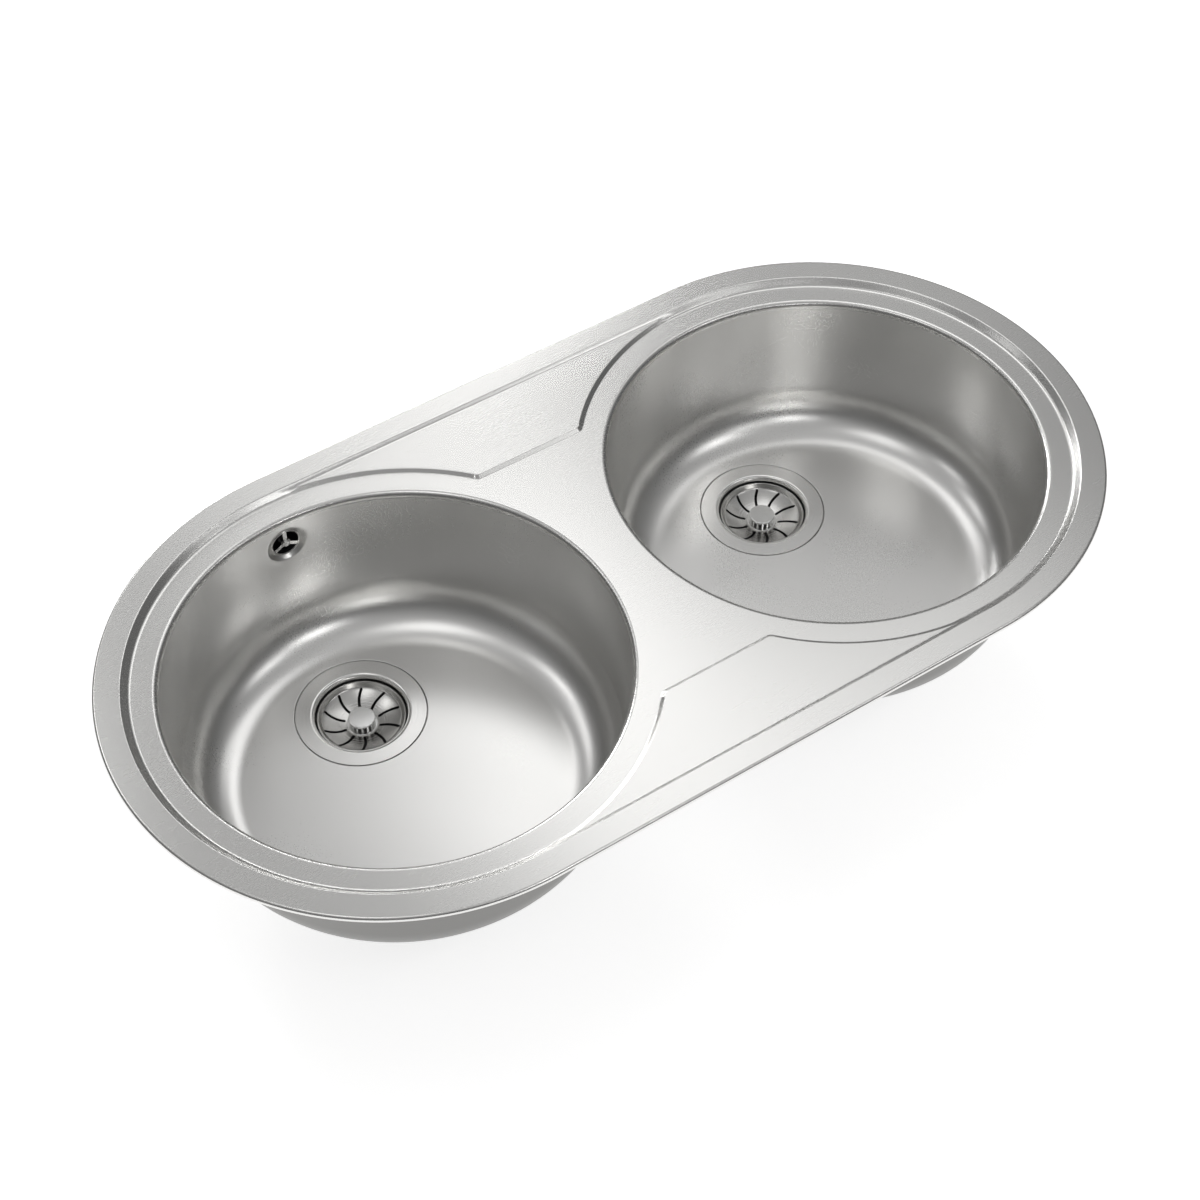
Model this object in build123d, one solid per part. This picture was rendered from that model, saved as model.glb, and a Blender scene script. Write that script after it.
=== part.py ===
from build123d import *
import os
from math import atan2, cos, degrees, radians, sin, sqrt, tan

# Inset kitchen sink with two round bowls, in millimetres.
# The origin is the middle of the sink on the worktop: the seal and the lip of the rim rest on z = 0.
# +X runs along the sink to the right, +Y to the back and +Z up.

# Deck pressing
sheet = 0.8                 # stainless sheet of the deck and of both bowls
bowl_pitch = 431.0          # from the middle of one bowl to the middle of the other
rim_radius = 241.0          # rounded ends of the deck, and half its depth
rim_height = 3.5            # top of the rim above the worktop
rim_width = 22.5            # from the outer edge to the top of the inner slope
rim_edge_round = 2.6        # rolled outer edge
ledge_drop = 6.0            # from the top of the rim down to the ledge
panel_rise = 3.0            # raised panels above the ledge
slope_round_top = 2.0       # bend at the top of the inner slope
slope_round_foot = 5.0      # bend at its foot
panel_ring = 213.2          # foot of a panel's curved side, from the middle of the bowl
panel_side_run = 3.4        # width of the panel's side seen from above
panel_inner_y = 138.1       # foot of a panel's straight side, from the middle line
panel_corner = 5.0
panel_round = 1.5           # bends along the sides of a panel

# Bowls
bowl_hole_radius = 189.6    # collar of the deck, where a bowl is welded on
hole_round = 5.0            # bend from the ledge into the collar
collar_land = 1.5           # straight end of the collar
seam_step = 0.15            # the bowl stands back from the collar by this much
bowl_depth = 152.0          # from the top of the rim to the floor
wall_lean = 2.6             # degrees from upright
cove_radius = 46.0

# Basket wastes
waste_offset = 80.0         # behind the middle of the bowl
cup_clearance = 3.8         # around the cup in the hole of the bowl
flange_width = 16.7         # from the mouth to the edge of the flange
flange_thickness = 1.0
flange_gap = 0.7            # around the flange in its recess
flange_seal_thickness = 1.0
recess_round = 0.6
cup_sheet = 0.9
mouth_radius = 40.3
mouth_round = 4.0
mouth_depth = 10.0          # straight part of the cup's wall
seat_inset = 5.3            # of the cone that the strainer's seal closes on, at its bottom
seat_depth = 25.0
cup_depth = 30.0
cup_slots = 6
cup_slot_inner = 12.0
cup_slot_inset = 8.0        # from the bottom of the seat to the slots
cup_spoke = 4.0

# Strainers
strainer_sheet = 0.8
strainer_gap = 1.5          # between the strainer's rim and the mouth
strainer_depth = 5.0        # rim of the strainer below the flange
strainer_rim = 4.0          # from the rim to the edge of the dish
dish_drop = 4.6             # from the strainer's rim to the edge of the dish
dish_fall = 7.7             # from the edge of the dish to its middle
strainer_slots = 10
slot_margin = 1.6           # from the end of a slot to the edge of the dish
slot_start = 2.6            # from the knob's foot to the start of a slot
slot_width = 2.5
slot_sweep = 5.7            # degrees that a slot turns back on its way out
slot_phase = 25.3
seal_gap = 0.35             # between the strainer's seal and its seat
strainer_seal_thickness = 2.6
stem_radius = 2.9
stem_clearance = 0.08
stem_length = 19.5
knob_radius = 11.8
knob_top = 7.0              # top of the knob below the flange
knob_cap = 2.0
knob_waist_radius = 9.6
knob_foot_radius = 13.6
knob_foot_height = 1.2
knob_ribs = 12
knob_rib_width = 1.6
knob_core_radius = 7.6

# Waste bodies
body_seal_thickness = 2.0
body_seal_inset = 2.5       # of the seal under the bowl, inside the edge of the flange
flange_seal_inset = 1.5     # of the seal under the flange
seal_bore_step = 0.5        # both seals stand back from the hole of the bowl
body_wall = 2.6
body_clearance = 5.2        # between the cup and the wall of the body
body_flange_width = 6.5
body_flange_height = 4.0
body_straight = 28.0        # upright part of the body below its flange
body_cone = 15.0
tail_radius = 23.9          # 1 1/2 inch pipe thread over its crests
tail_length = 26.0
insert_radius = 4.6
insert_length = 11.0
boss_wall = 2.4
boss_ribs = 3
boss_rib_thickness = 2.4
boss_rib_drop = 3.0         # top of the ribs below the top of the boss
boss_gap = 1.5              # between the cup and the boss
boss_floor = 3.0            # of the boss below the insert
waste_screw_radius = 3.0
waste_screw_head_radius = 6.2
waste_screw_head_height = 6.2
waste_screw_length = 16.0
socket_depth = 5.0

# Overflow of the left bowl
overflow_drop = 34.5        # middle of the overflow below the top of the rim
overflow_mouth_radius = 17.5
overflow_floor_radius = 14.6
overflow_dish_depth = 3.2
overflow_dish_floor_round = 0.8
overflow_hole_radius = 13.0
overflow_face_radius = 14.2
overflow_face_thickness = 1.4
overflow_open_radius = 12.2
overflow_hub_radius = 4.0
overflow_spoke = 3.4
overflow_screw_radius = 2.4
overflow_screw_head_radius = 3.6
overflow_screw_head_height = 1.9
overflow_screw_length = 20.0
elbow_radius = 17.2
elbow_wall = 2.2
elbow_depth = 24.0
elbow_boss_radius = 4.2
elbow_boss_drop = 2.0       # boss below the open end
elbow_boss_bore = 16.0
elbow_round = 3.0
overflow_seal_thickness = 1.5
outlet_radius = 10.0
outlet_bore_radius = 7.6
outlet_length = 20.0
spigot_length = 30.0
spigot_drop = 5.0           # from the flange of the waste body to the top of its spigot
hose_clearance = 0.1
hose_wall = 2.2
hose_bend = 42.0
hose_lap = 15.0             # of the hose over each spout
hose_clip_width = 7.0
hose_clip_thickness = 0.9
hose_clip_ear = 6.0

# Rim seal and sound pads
seal_width = 8.0
seal_inset = 4.0            # from the inside of the lip
pad_thickness = 2.5
pad_radius = 92.0
pad_offset = -34.0          # middle of the pad, in front of the middle of the bowl
pad_waste_gap = 8.0

# Fixing clips
clip_straight_x = 98.0      # clips on the straight sides, from the middle
clip_end_angle = 45.0       # clips on the rounded ends, from the long axis
clip_inset = 37.5           # screw axis from the outer edge
bracket_sheet = 1.5
bracket_width = 13.0
bracket_span = 24.0         # inside, between its legs
bracket_foot = 8.0
bracket_bend = 1.0
bracket_floor_z = -27.0
nut_height = 5.0
nut_radius = 5.2
screw_radius = 2.42
screw_clearance = 0.08
screw_head_radius = 4.6
screw_head_height = 3.0
claw_travel = 12.0
claw_sheet = 2.0
claw_width = 14.0
claw_reach = 31.0
claw_toe = 5.0
claw_teeth = 3
claw_notch = 2.2            # depth of the notches between the teeth
claw_gap = 0.5              # between the claw and the bracket when fully raised

# Levels and lines that follow from the sizes above
ledge_z = rim_height - ledge_drop
panel_z = ledge_z + panel_rise
collar_z = ledge_z - hole_round - collar_land
floor_z = rim_height - bowl_depth
flange_z = floor_z
recess_depth = flange_thickness + flange_seal_thickness
hole_under_z = floor_z - recess_depth - sheet
body_top_z = hole_under_z - body_seal_thickness

waste_hole_radius = mouth_radius + cup_sheet + cup_clearance
flange_radius = mouth_radius + flange_width
seat_radius = mouth_radius - seat_inset
cup_slot_outer = seat_radius - cup_slot_inset
strainer_radius = mouth_radius - strainer_gap
dish_radius = strainer_radius - strainer_rim
dish_ball = (dish_radius**2 + dish_fall**2) / (2 * dish_fall)
slot_inner, slot_outer = knob_foot_radius + slot_start, dish_radius - slot_margin
body_radius = mouth_radius + cup_sheet + body_clearance + body_wall
body_flange_radius = body_radius + body_flange_width
flange_seal_radius = flange_radius - flange_seal_inset
body_seal_radius = flange_radius - body_seal_inset
seal_bore_radius = waste_hole_radius + seal_bore_step

slope_foot = rim_radius - rim_width - ledge_drop
bowl_radius = bowl_hole_radius + seam_step
bowls = {"left": -bowl_pitch / 2, "right": bowl_pitch / 2}

body_flange_z = body_top_z - body_flange_height
body_shoulder_z = body_flange_z - body_straight
body_neck_z = body_shoulder_z - body_cone
body_end_z = body_neck_z - tail_length
boss_top_z = flange_z - cup_depth - cup_sheet - boss_gap
boss_low_z = boss_top_z - insert_length - boss_floor

wall_slope = tan(radians(wall_lean))
overflow_z = rim_height - overflow_drop
overflow_wall_y = bowl_radius - (collar_z - overflow_z) * wall_slope
overflow_floor_y = overflow_wall_y + overflow_dish_depth
elbow_face_y = overflow_floor_y + sheet + overflow_seal_thickness
outlet_y = elbow_face_y + elbow_depth - outlet_radius - elbow_wall
outlet_end_z = overflow_z - elbow_radius - outlet_length
spigot_z = body_flange_z - outlet_radius - spigot_drop
spigot_end_y = waste_offset + body_radius + spigot_length

claw_top_z = bracket_floor_z - bracket_sheet - claw_gap - claw_travel


def path(*corners):
    """Open line through corners (r, z) or (r, z, bend radius)."""
    radii = [corner[2] if len(corner) > 2 else 0 for corner in corners[1:-1]]
    line = Curve() + Polyline(*[corner[:2] for corner in corners])
    for corner, radius in zip(corners[1:-1], radii):
        if radius:
            bends = line.vertices().sort_by_distance((corner[0], corner[1]))
            line = fillet(bends[0], radius)
    return line


def outline(*corners):
    """Closed face through corners (r, z) or (r, z, rounding radius)."""
    face = make_face(Polyline(*[corner[:2] for corner in corners], close=True))
    for corner in corners:
        if len(corner) > 2:
            near = face.vertices().sort_by_distance((corner[0], corner[1]))
            face = fillet(near[0], corner[2])
    return face


def band(thickness, *corners):
    """Sheet of one thickness that lies to the right of the line through the corners."""
    line = path(*corners)
    return make_face(offset(line, amount=thickness, side=Side.RIGHT).edges())


def turned(face, x=0.0, y=0.0, z=0.0):
    """Face drawn in radius and height, turned about an upright axis."""
    return Pos(x, y, z) * revolve(Plane.XZ * face, Axis.Z)


def disc(radius, low, high, x=0.0, y=0.0):
    return Pos(x, y, low) * extrude(Circle(radius), amount=high - low)


def washer(outer, inner, low, thickness, x=0.0, y=waste_offset):
    return disc(outer, low, low + thickness, x, y) - disc(inner, low, low + thickness, x, y)


def pointed(*points):
    """Flat face with sharp corners."""
    return make_face(Polyline(*points, close=True))


def racetrack(face):
    """Face drawn in radius and height, carried round the outline of the deck."""
    section = Plane.XZ * face
    half = bowl_pitch / 2
    end = revolve(section, Axis.Z, 180)
    right = Pos(half, 0, 0) * Rot(0, 0, -90) * end
    left = Pos(-half, 0, 0) * Rot(0, 0, 90) * end
    side = Pos(-half, 0, 0) * extrude(Plane.YZ * face, amount=bowl_pitch)
    return right + left + side + Rot(0, 0, 180) * side


def deck_body(inset):
    """Block under the deck's upper surface, or under its lower one when inset is the sheet."""
    bend_shift = inset * tan(radians(22.5))
    foot, top = slope_foot + bend_shift, rim_radius - rim_width + bend_shift
    low = collar_z - (inset and 6.0)
    edge = rim_radius - inset
    step = 0 if inset else 4.0
    frame = outline(
        (0, low),
        (0, ledge_z - inset),
        (foot, ledge_z - inset, slope_round_foot + inset),
        (top, rim_height - inset, slope_round_top - inset),
        (edge, rim_height - inset, rim_edge_round - inset),
        (edge, 0 if step else low),
        *([(edge - step, 0), (edge - step, low)] if step else []),
    )
    return racetrack(frame)


def panel_block(inset):
    """Raised panel at the back, cut out of a slab by the sunk ledge with its sloping sides."""
    lean = degrees(atan2(panel_side_run, panel_rise))
    shift = panel_side_run + inset * tan(radians(lean) / 2)
    ring, edge = panel_ring + shift, panel_inner_y + shift
    near, far = edge / 2, rim_radius - rim_width / 2
    low, high = ledge_z - inset - sheet, panel_z - inset
    slab = Pos(0, (near + far) / 2, low) * extrude(Rectangle(bowl_pitch, far - near), amount=high - low)
    sunk = Rectangle(bowl_pitch, 2 * edge) + [Pos(x, 0) * Circle(ring) for x in bowls.values()]
    corner_x = bowl_pitch / 2 - sqrt(ring**2 - edge**2)
    corners = [v for v in sunk.vertices() if abs(abs(v.X) - corner_x) < 0.1]
    pit = Pos(0, 0, high) * extrude(fillet(corners, panel_corner), amount=-panel_rise, taper=lean)
    pit = fillet(pit.faces().sort_by(Axis.Z)[0].edges(), panel_round + inset)
    block = slab - pit
    brim = block.faces().sort_by(Axis.Z)[-1].edges()
    sides = [e for e in brim if e.center().Y < far - 1 and abs(e.center().X) < bowl_pitch / 2 - 1]
    return fillet(sides, panel_round - inset)


def deck_form(inset):
    """Everything under the deck's upper surface, or under its lower one when inset is the sheet."""
    panel = panel_block(inset)
    form = deck_body(inset) + panel + Rot(0, 0, 180) * panel
    radius = bowl_hole_radius + inset
    for x in bowls.values():
        form -= disc(radius, floor_z, rim_height, x)
    rims = [e for e in form.edges() if e.geom_type == GeomType.CIRCLE
            and abs(e.radius - radius) < 0.01 and abs(e.center().Z - ledge_z + inset) < 0.01]
    return fillet(rims, hole_round - inset)


def make_deck():
    return deck_form(0) - deck_form(sheet)


def wall_radius(z):
    """Inner radius of a bowl's wall at a height."""
    return bowl_radius - (collar_z - z) * wall_slope


def bowl_form(inset, x):
    """Hollow of a bowl, or its outside when inset is the sheet, with its waste recess."""
    out = inset / cos(radians(wall_lean))
    top = collar_z if inset else collar_z + 1
    face = outline(
        (0, floor_z - inset),
        (wall_radius(floor_z - inset) + out, floor_z - inset, cove_radius + inset),
        (wall_radius(top) + out, top),
        (0, top),
    )
    radius = flange_radius + flange_gap + inset
    recess = disc(radius, floor_z - recess_depth - inset, floor_z + 1, x, waste_offset)
    recess = fillet(recess.faces().sort_by(Axis.Z)[0].edges(), recess_round + inset)
    return Pos(x, 0, 0) * Rot(0, 0, 180) * turned(face) + recess


def overflow_place(y):
    """Frame of the overflow, y behind the middle of the bowl: its +Z points into the bowl."""
    return Pos(bowls["left"], y, overflow_z) * Rot(90, 0, 0)


def overflow_dish(inset):
    """Conical dish pressed into the wall round the overflow, as a solid that starts inside the bowl."""
    depth, inside = overflow_dish_depth + inset, 3.0
    slope = (overflow_mouth_radius - overflow_floor_radius) / overflow_dish_depth
    floor_radius = overflow_floor_radius + inset
    face = outline(
        (0, -depth),
        (floor_radius, -depth, overflow_dish_floor_round + inset),
        (floor_radius + slope * (depth + inside), inside),
        (0, inside),
    )
    return overflow_place(overflow_wall_y) * revolve(Plane.XZ * face, Axis.Z)


def make_bowl(side):
    x = bowls[side]
    outer, inner = bowl_form(sheet, x), bowl_form(0, x)
    if side == "left":
        outer += overflow_dish(sheet)
        inner += overflow_dish(0)
    bowl = outer - inner - disc(waste_hole_radius, floor_z - 10, floor_z, x, waste_offset)
    if side == "left":
        bowl -= overflow_place(overflow_floor_y + 2) * extrude(Circle(overflow_hole_radius), amount=10)
    return bowl


def cup_section():
    """Flange and cup of a waste, drawn from the flange's edge inwards and down."""
    return band(
        cup_sheet,
        (waste_screw_radius + 0.1, -cup_depth),
        (seat_radius - 3.0, -cup_depth, 2.5),
        (seat_radius, -seat_depth, 1.0),
        (mouth_radius, -mouth_depth, 2.0),
        (mouth_radius, -mouth_round, 0),
    )


def make_flange(x):
    """Waste flange and cup: a ring flush with the floor, a mouth, a seat and a slotted bottom."""
    cup = turned(cup_section())
    lip = outline(
        (mouth_radius, -mouth_round),
        (mouth_radius + cup_sheet, -mouth_round),
        (mouth_radius + cup_sheet, -flange_thickness),
        (flange_radius, -flange_thickness),
        (flange_radius, 0, flange_thickness / 3),
        (mouth_radius, 0, mouth_round - 0.05),
    )
    slots = Circle(cup_slot_outer) - Circle(cup_slot_inner)
    for turn in range(cup_slots):
        slots -= Rot(0, 0, turn * 360 / cup_slots) * Pos(cup_slot_outer / 2, 0) * Rectangle(
            cup_slot_outer * 1.2, cup_spoke)
    holes = Pos(0, 0, -cup_depth - 5) * extrude(slots, amount=8)
    return Pos(x, waste_offset, flange_z) * (cup + turned(lip) - holes)


def dish_z(radius):
    """Upper surface of the strainer's dish, a shallow cap of a ball, below the flange."""
    middle = -strainer_depth - dish_drop - dish_fall
    return middle + dish_ball - sqrt(dish_ball**2 - radius**2)


def make_strainer(x):
    """Dished strainer with swept slots round its middle."""
    start, half, edge = [(r, dish_z(r)) for r in (stem_radius, dish_radius / 2, dish_radius)]
    rim = (strainer_radius - 1.2, -strainer_depth)
    line = Curve() + ThreePointArc(start, half, edge)
    line += Polyline(edge, rim, (strainer_radius, -strainer_depth - 0.7))
    for corner, bend in ((edge, 5.0), (rim, 0.9)):
        line = fillet(line.vertices().sort_by_distance(corner)[0], bend)
    face = make_face(offset(line, amount=strainer_sheet, side=Side.RIGHT).edges())
    middle = (slot_inner + slot_outer) / 2
    turns = [slot_sweep, slot_sweep * 0.95, 0]
    points = [(r * cos(radians(a)), r * sin(radians(a)))
              for r, a in zip((slot_inner, middle, slot_outer), turns)]
    slot = SlotArc(ThreePointArc(*points), slot_width)
    cut = Pos(0, 0, -seat_depth) * extrude(slot, amount=seat_depth)
    dish = turned(face)
    for turn in range(strainer_slots):
        dish -= Rot(0, 0, slot_phase + turn * 360 / strainer_slots) * cut
    return Pos(x, waste_offset, flange_z) * dish


def make_knob(x):
    """Knob with a flat cap over a ribbed waist and a round foot on the dish."""
    foot_top = dish_z(knob_foot_radius) + knob_foot_height
    cap_under = -knob_top - knob_cap
    foot = turned(outline(
        (stem_radius, dish_z(stem_radius)), (knob_foot_radius, dish_z(knob_foot_radius)),
        (knob_foot_radius, foot_top, 0.5), (stem_radius, foot_top)))
    core = turned(outline((stem_radius, foot_top), (knob_core_radius, foot_top),
                          (knob_core_radius, cap_under), (stem_radius, cap_under)))
    cap = turned(outline((0, cap_under), (knob_radius, cap_under, 0.4),
                         (knob_radius, -knob_top, 0.9), (0, -knob_top)))
    rib = Pos((knob_core_radius + knob_waist_radius) / 2, 0, foot_top) * extrude(
        Rectangle(knob_waist_radius - knob_core_radius + 1, knob_rib_width), amount=cap_under - foot_top)
    knob = foot + core + cap
    knob += [Rot(0, 0, turn * 360 / knob_ribs) * rib for turn in range(knob_ribs)]
    return Pos(x, waste_offset, flange_z) * knob


def seat_line(z):
    """Radius of the cup's seat cone at a height below the flange."""
    share = (-mouth_depth - z) / (seat_depth - mouth_depth)
    return mouth_radius - share * (mouth_radius - seat_radius)


def make_strainer_seal(x):
    """Rubber disc on the stem that closes on the cup's seat."""
    top = dish_z(0) - strainer_sheet - 2.4
    low = top - strainer_seal_thickness
    radius = seat_line(low) - seal_gap
    face = outline(
        (stem_radius, low), (radius, low), (radius, low + strainer_seal_thickness / 2),
        (radius - 2.5, top), (stem_radius, top))
    return Pos(x, waste_offset, flange_z) * turned(face)


def make_stem(x):
    """Stem from the knob through the dish and the seal into the socket of the waste screw."""
    cap_under = -knob_top - knob_cap
    collar_top = dish_z(0) - strainer_sheet
    low = cap_under - stem_length
    face = outline(
        (0, low), (stem_radius - 0.8, low), (stem_radius, low + 0.8),
        (stem_radius, cap_under), (0, cap_under))
    collar = outline((0, collar_top - 2.4), (stem_radius + 2.6, collar_top - 2.4),
                     (stem_radius + 2.6, collar_top - 0.2), (0, collar_top - 0.2))
    return Pos(x, waste_offset, flange_z) * (turned(face) + turned(collar))


def make_waste_screw(x):
    """Centre screw that clamps cup and body together; its deep head guides the stem."""
    seat = -cup_depth
    end = seat - waste_screw_length
    face = outline(
        (0, end), (waste_screw_radius - 0.6, end), (waste_screw_radius, end + 0.6),
        (waste_screw_radius, seat), (waste_screw_head_radius, seat),
        (waste_screw_head_radius, seat + waste_screw_head_height, 0.6),
        (stem_radius + stem_clearance, seat + waste_screw_head_height),
        (stem_radius + stem_clearance, seat + waste_screw_head_height - socket_depth),
        (0, seat + waste_screw_head_height - socket_depth))
    return Pos(x, waste_offset, flange_z) * turned(face)


def body_wall_form(inset):
    """Outside of a waste body, or its hollow when inset is the wall."""
    top = body_top_z + (1 if inset else 0)
    end = body_end_z - (1 if inset else 0)
    lip = [] if inset else [(body_radius, body_flange_z), (body_flange_radius, body_flange_z)]
    return turned(outline(
        (0, end),
        (tail_radius - inset, end),
        (tail_radius - inset, body_neck_z, 2.0),
        (body_radius - inset, body_shoulder_z, 4.0),
        *lip,
        (body_radius - inset if inset else body_flange_radius, top),
        (0, top),
    ))


def body_boss():
    """Boss for the threaded insert, on ribs that reach the wall."""
    ribs_top = boss_top_z - boss_rib_drop
    rib = Pos(body_radius / 2, 0, boss_low_z) * extrude(
        Rectangle(body_radius - body_wall, boss_rib_thickness), amount=ribs_top - boss_low_z)
    boss = disc(insert_radius + boss_wall, boss_low_z, boss_top_z)
    return boss + [Rot(0, 0, 30 + turn * 360 / boss_ribs) * rib for turn in range(boss_ribs)]


def spout(radius, start, length):
    """Round bar that leaves the waste body towards the back at the height of the spigot."""
    return Pos(0, start, spigot_z) * Rot(-90, 0, 0) * extrude(Circle(radius), amount=length)


def make_body(side):
    """Plastic waste body with an outlet tail and a boss; the left one takes the overflow hose."""
    hollow = body_wall_form(body_wall)
    body = body_wall_form(0)
    if side == "left":
        body += spout(outlet_radius, body_radius / 2, body_radius / 2 + spigot_length)
    body = body - hollow + (body_boss() & hollow)
    if side == "left":
        start = body_radius - 2 * body_wall
        body -= spout(outlet_bore_radius, start, spigot_length + 3 * body_wall)
    body -= disc(insert_radius, boss_top_z - insert_length, boss_top_z + 1)
    body -= disc(waste_screw_radius + 0.2, boss_low_z - 1, boss_top_z)
    return Pos(bowls[side], waste_offset, 0) * body


def make_insert(x):
    return washer(insert_radius, waste_screw_radius, boss_top_z - insert_length, insert_length, x)


def make_overflow_face():
    """Face of the overflow: a raised ring and a hub on three spokes."""
    depth = overflow_face_thickness
    spoke = Pos(overflow_open_radius / 2, 0) * Rectangle(overflow_open_radius + 1, overflow_spoke)
    plan = Circle(overflow_face_radius) - Circle(overflow_open_radius) + Circle(overflow_hub_radius)
    plan += [Rot(0, 0, 90 + turn * 120) * spoke for turn in range(3)]
    ring = outline(
        (overflow_open_radius, 0),
        (overflow_face_radius, 0),
        (overflow_face_radius, depth),
        (overflow_face_radius - 0.9, depth + 0.8, 0.4),
        (overflow_open_radius, depth),
    )
    hole = Pos(0, 0, -1) * extrude(Circle(overflow_screw_radius + 0.15), amount=depth + 2)
    return overflow_place(overflow_floor_y) * (extrude(plan, amount=depth) + turned(ring) - hole)


def make_overflow_screw():
    """Screw with a low rounded head that holds the face to the elbow."""
    low, high = overflow_face_thickness, overflow_face_thickness + overflow_screw_head_height
    head = outline(
        (0, low),
        (overflow_screw_head_radius, low),
        (overflow_screw_head_radius, high, overflow_screw_head_height - 0.6),
        (0, high),
    )
    shank = disc(overflow_screw_radius, low - overflow_screw_length, low)
    return overflow_place(overflow_floor_y) * (turned(head) + shank)


def make_overflow_seal():
    ring = Circle(elbow_radius - 0.6) - Circle(overflow_hole_radius)
    return overflow_place(elbow_face_y) * extrude(ring, amount=overflow_seal_thickness)


def elbow_spout(radius):
    """Upright bar from the middle of the elbow down to the end of its outlet, in the overflow's frame."""
    length = elbow_radius + outlet_length
    bar = extrude(Circle(radius), amount=length)
    return Pos(0, -length, elbow_face_y - outlet_y) * Rot(-90, 0, 0) * bar


def make_elbow():
    """Plastic elbow behind the overflow, with its screw boss and an outlet that points down."""
    hollow = disc(elbow_radius - elbow_wall, elbow_wall - elbow_depth, 0)
    hollow = fillet(hollow.faces().sort_by(Axis.Z)[0].edges(), elbow_round - elbow_wall / 2)
    shell = disc(elbow_radius, -elbow_depth, 0)
    shell = fillet(shell.faces().sort_by(Axis.Z)[0].edges(), elbow_round)
    shell = shell + elbow_spout(outlet_radius) - hollow - elbow_spout(outlet_bore_radius)
    shell += disc(elbow_boss_radius, -elbow_depth + elbow_wall / 2, -elbow_boss_drop)
    shell -= disc(overflow_screw_radius, -elbow_boss_drop - elbow_boss_bore, 0)
    return overflow_place(elbow_face_y) * shell


def hose_line():
    top = (outlet_y, outlet_end_z + hose_lap)
    corner = (outlet_y, spigot_z)
    end = (spigot_end_y - hose_lap, spigot_z)
    return FilletPolyline(top, corner, end, radius=hose_bend)


def make_hose():
    """Hose from the overflow elbow down and forward to the left waste body."""
    line = Plane.YZ * hose_line()
    line = Pos(bowls["left"], 0, 0) * line
    start = Plane(origin=line @ 0, z_dir=line % 0)
    bore = outlet_radius + hose_clearance
    return sweep(start * Circle(bore + hose_wall), path=line) - sweep(start * Circle(bore), path=line)


def make_hose_clip():
    """Band clip round +Z with a small ear, centred on its band."""
    inner = outlet_radius + hose_clearance + hose_wall
    ear = Pos(0, inner + hose_clip_ear / 2) * Rectangle(hose_clip_ear - 1, hose_clip_ear)
    plan = Circle(inner + hose_clip_thickness) + ear - Circle(inner)
    return Pos(0, 0, -hose_clip_width / 2) * extrude(plan, amount=hose_clip_width)


def make_hose_clips():
    """One band clip at each end of the hose."""
    clip = make_hose_clip()
    upper = Pos(bowls["left"], outlet_y, outlet_end_z + hose_lap / 2) * clip
    lower = Pos(bowls["left"], spigot_end_y - hose_lap / 2, spigot_z) * Rot(90, 0, 0) * clip
    return Compound(children=[upper, lower])


def make_seal():
    outer = rim_radius - sheet - seal_inset
    return racetrack(outline((outer - seal_width, 0), (outer, 0), (outer, rim_height - sheet),
                             (outer - seal_width, rim_height - sheet)))


def make_pad(x):
    pad = Pos(x, pad_offset) * Circle(pad_radius) - Pos(x, waste_offset) * Circle(
        flange_radius + flange_gap + sheet + pad_waste_gap)
    return Pos(0, 0, floor_z - sheet - pad_thickness) * extrude(pad, amount=pad_thickness)


def clip_places():
    """Name, place and outward direction of each clip, and the underside that it is welded to."""
    straight = rim_radius - clip_inset
    places = {}
    for row, y, out in (("front", -straight, 270), ("back", straight, 90)):
        for side, x in (("left", -clip_straight_x), ("right", clip_straight_x)):
            places[f"{row}_{side}"] = (x, y, out, panel_z - sheet)
    for side, middle in bowls.items():
        for row, turn in (("front", -clip_end_angle), ("back", clip_end_angle)):
            out = turn if side == "right" else 180 - turn
            x, y = middle + straight * cos(radians(out)), straight * sin(radians(out))
            places[f"{side}_{row}"] = (x, y, out, ledge_z - sheet)
    return places


def make_bracket(under):
    """Hat bracket with a tapped nut; the clip's outward direction is +X."""
    leg = bracket_span / 2
    foot = leg + bracket_sheet + bracket_foot
    face = band(
        bracket_sheet,
        (-foot, under),
        (-leg, under, bracket_bend),
        (-leg, bracket_floor_z, bracket_bend),
        (leg, bracket_floor_z, bracket_bend),
        (leg, under, bracket_bend),
        (foot, under),
    )
    hat = Pos(bracket_width / 2, 0, 0) * extrude(Plane.YZ * face, amount=-bracket_width)
    nut = Pos(0, 0, bracket_floor_z) * extrude(RegularPolygon(nut_radius, 6), amount=nut_height)
    low = bracket_floor_z - bracket_sheet
    return hat + nut - disc(screw_radius + screw_clearance, low - 1, bracket_floor_z + nut_height + 1)


def make_screw():
    """Clamp screw, fully slackened, with its head under the claw."""
    seat = claw_top_z - claw_sheet
    shank = disc(screw_radius, seat, bracket_floor_z + nut_height)
    head = disc(screw_head_radius, seat - screw_head_height, seat)
    head = chamfer(head.faces().sort_by(Axis.Z)[0].edges(), 1.2)
    return shank + head


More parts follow.
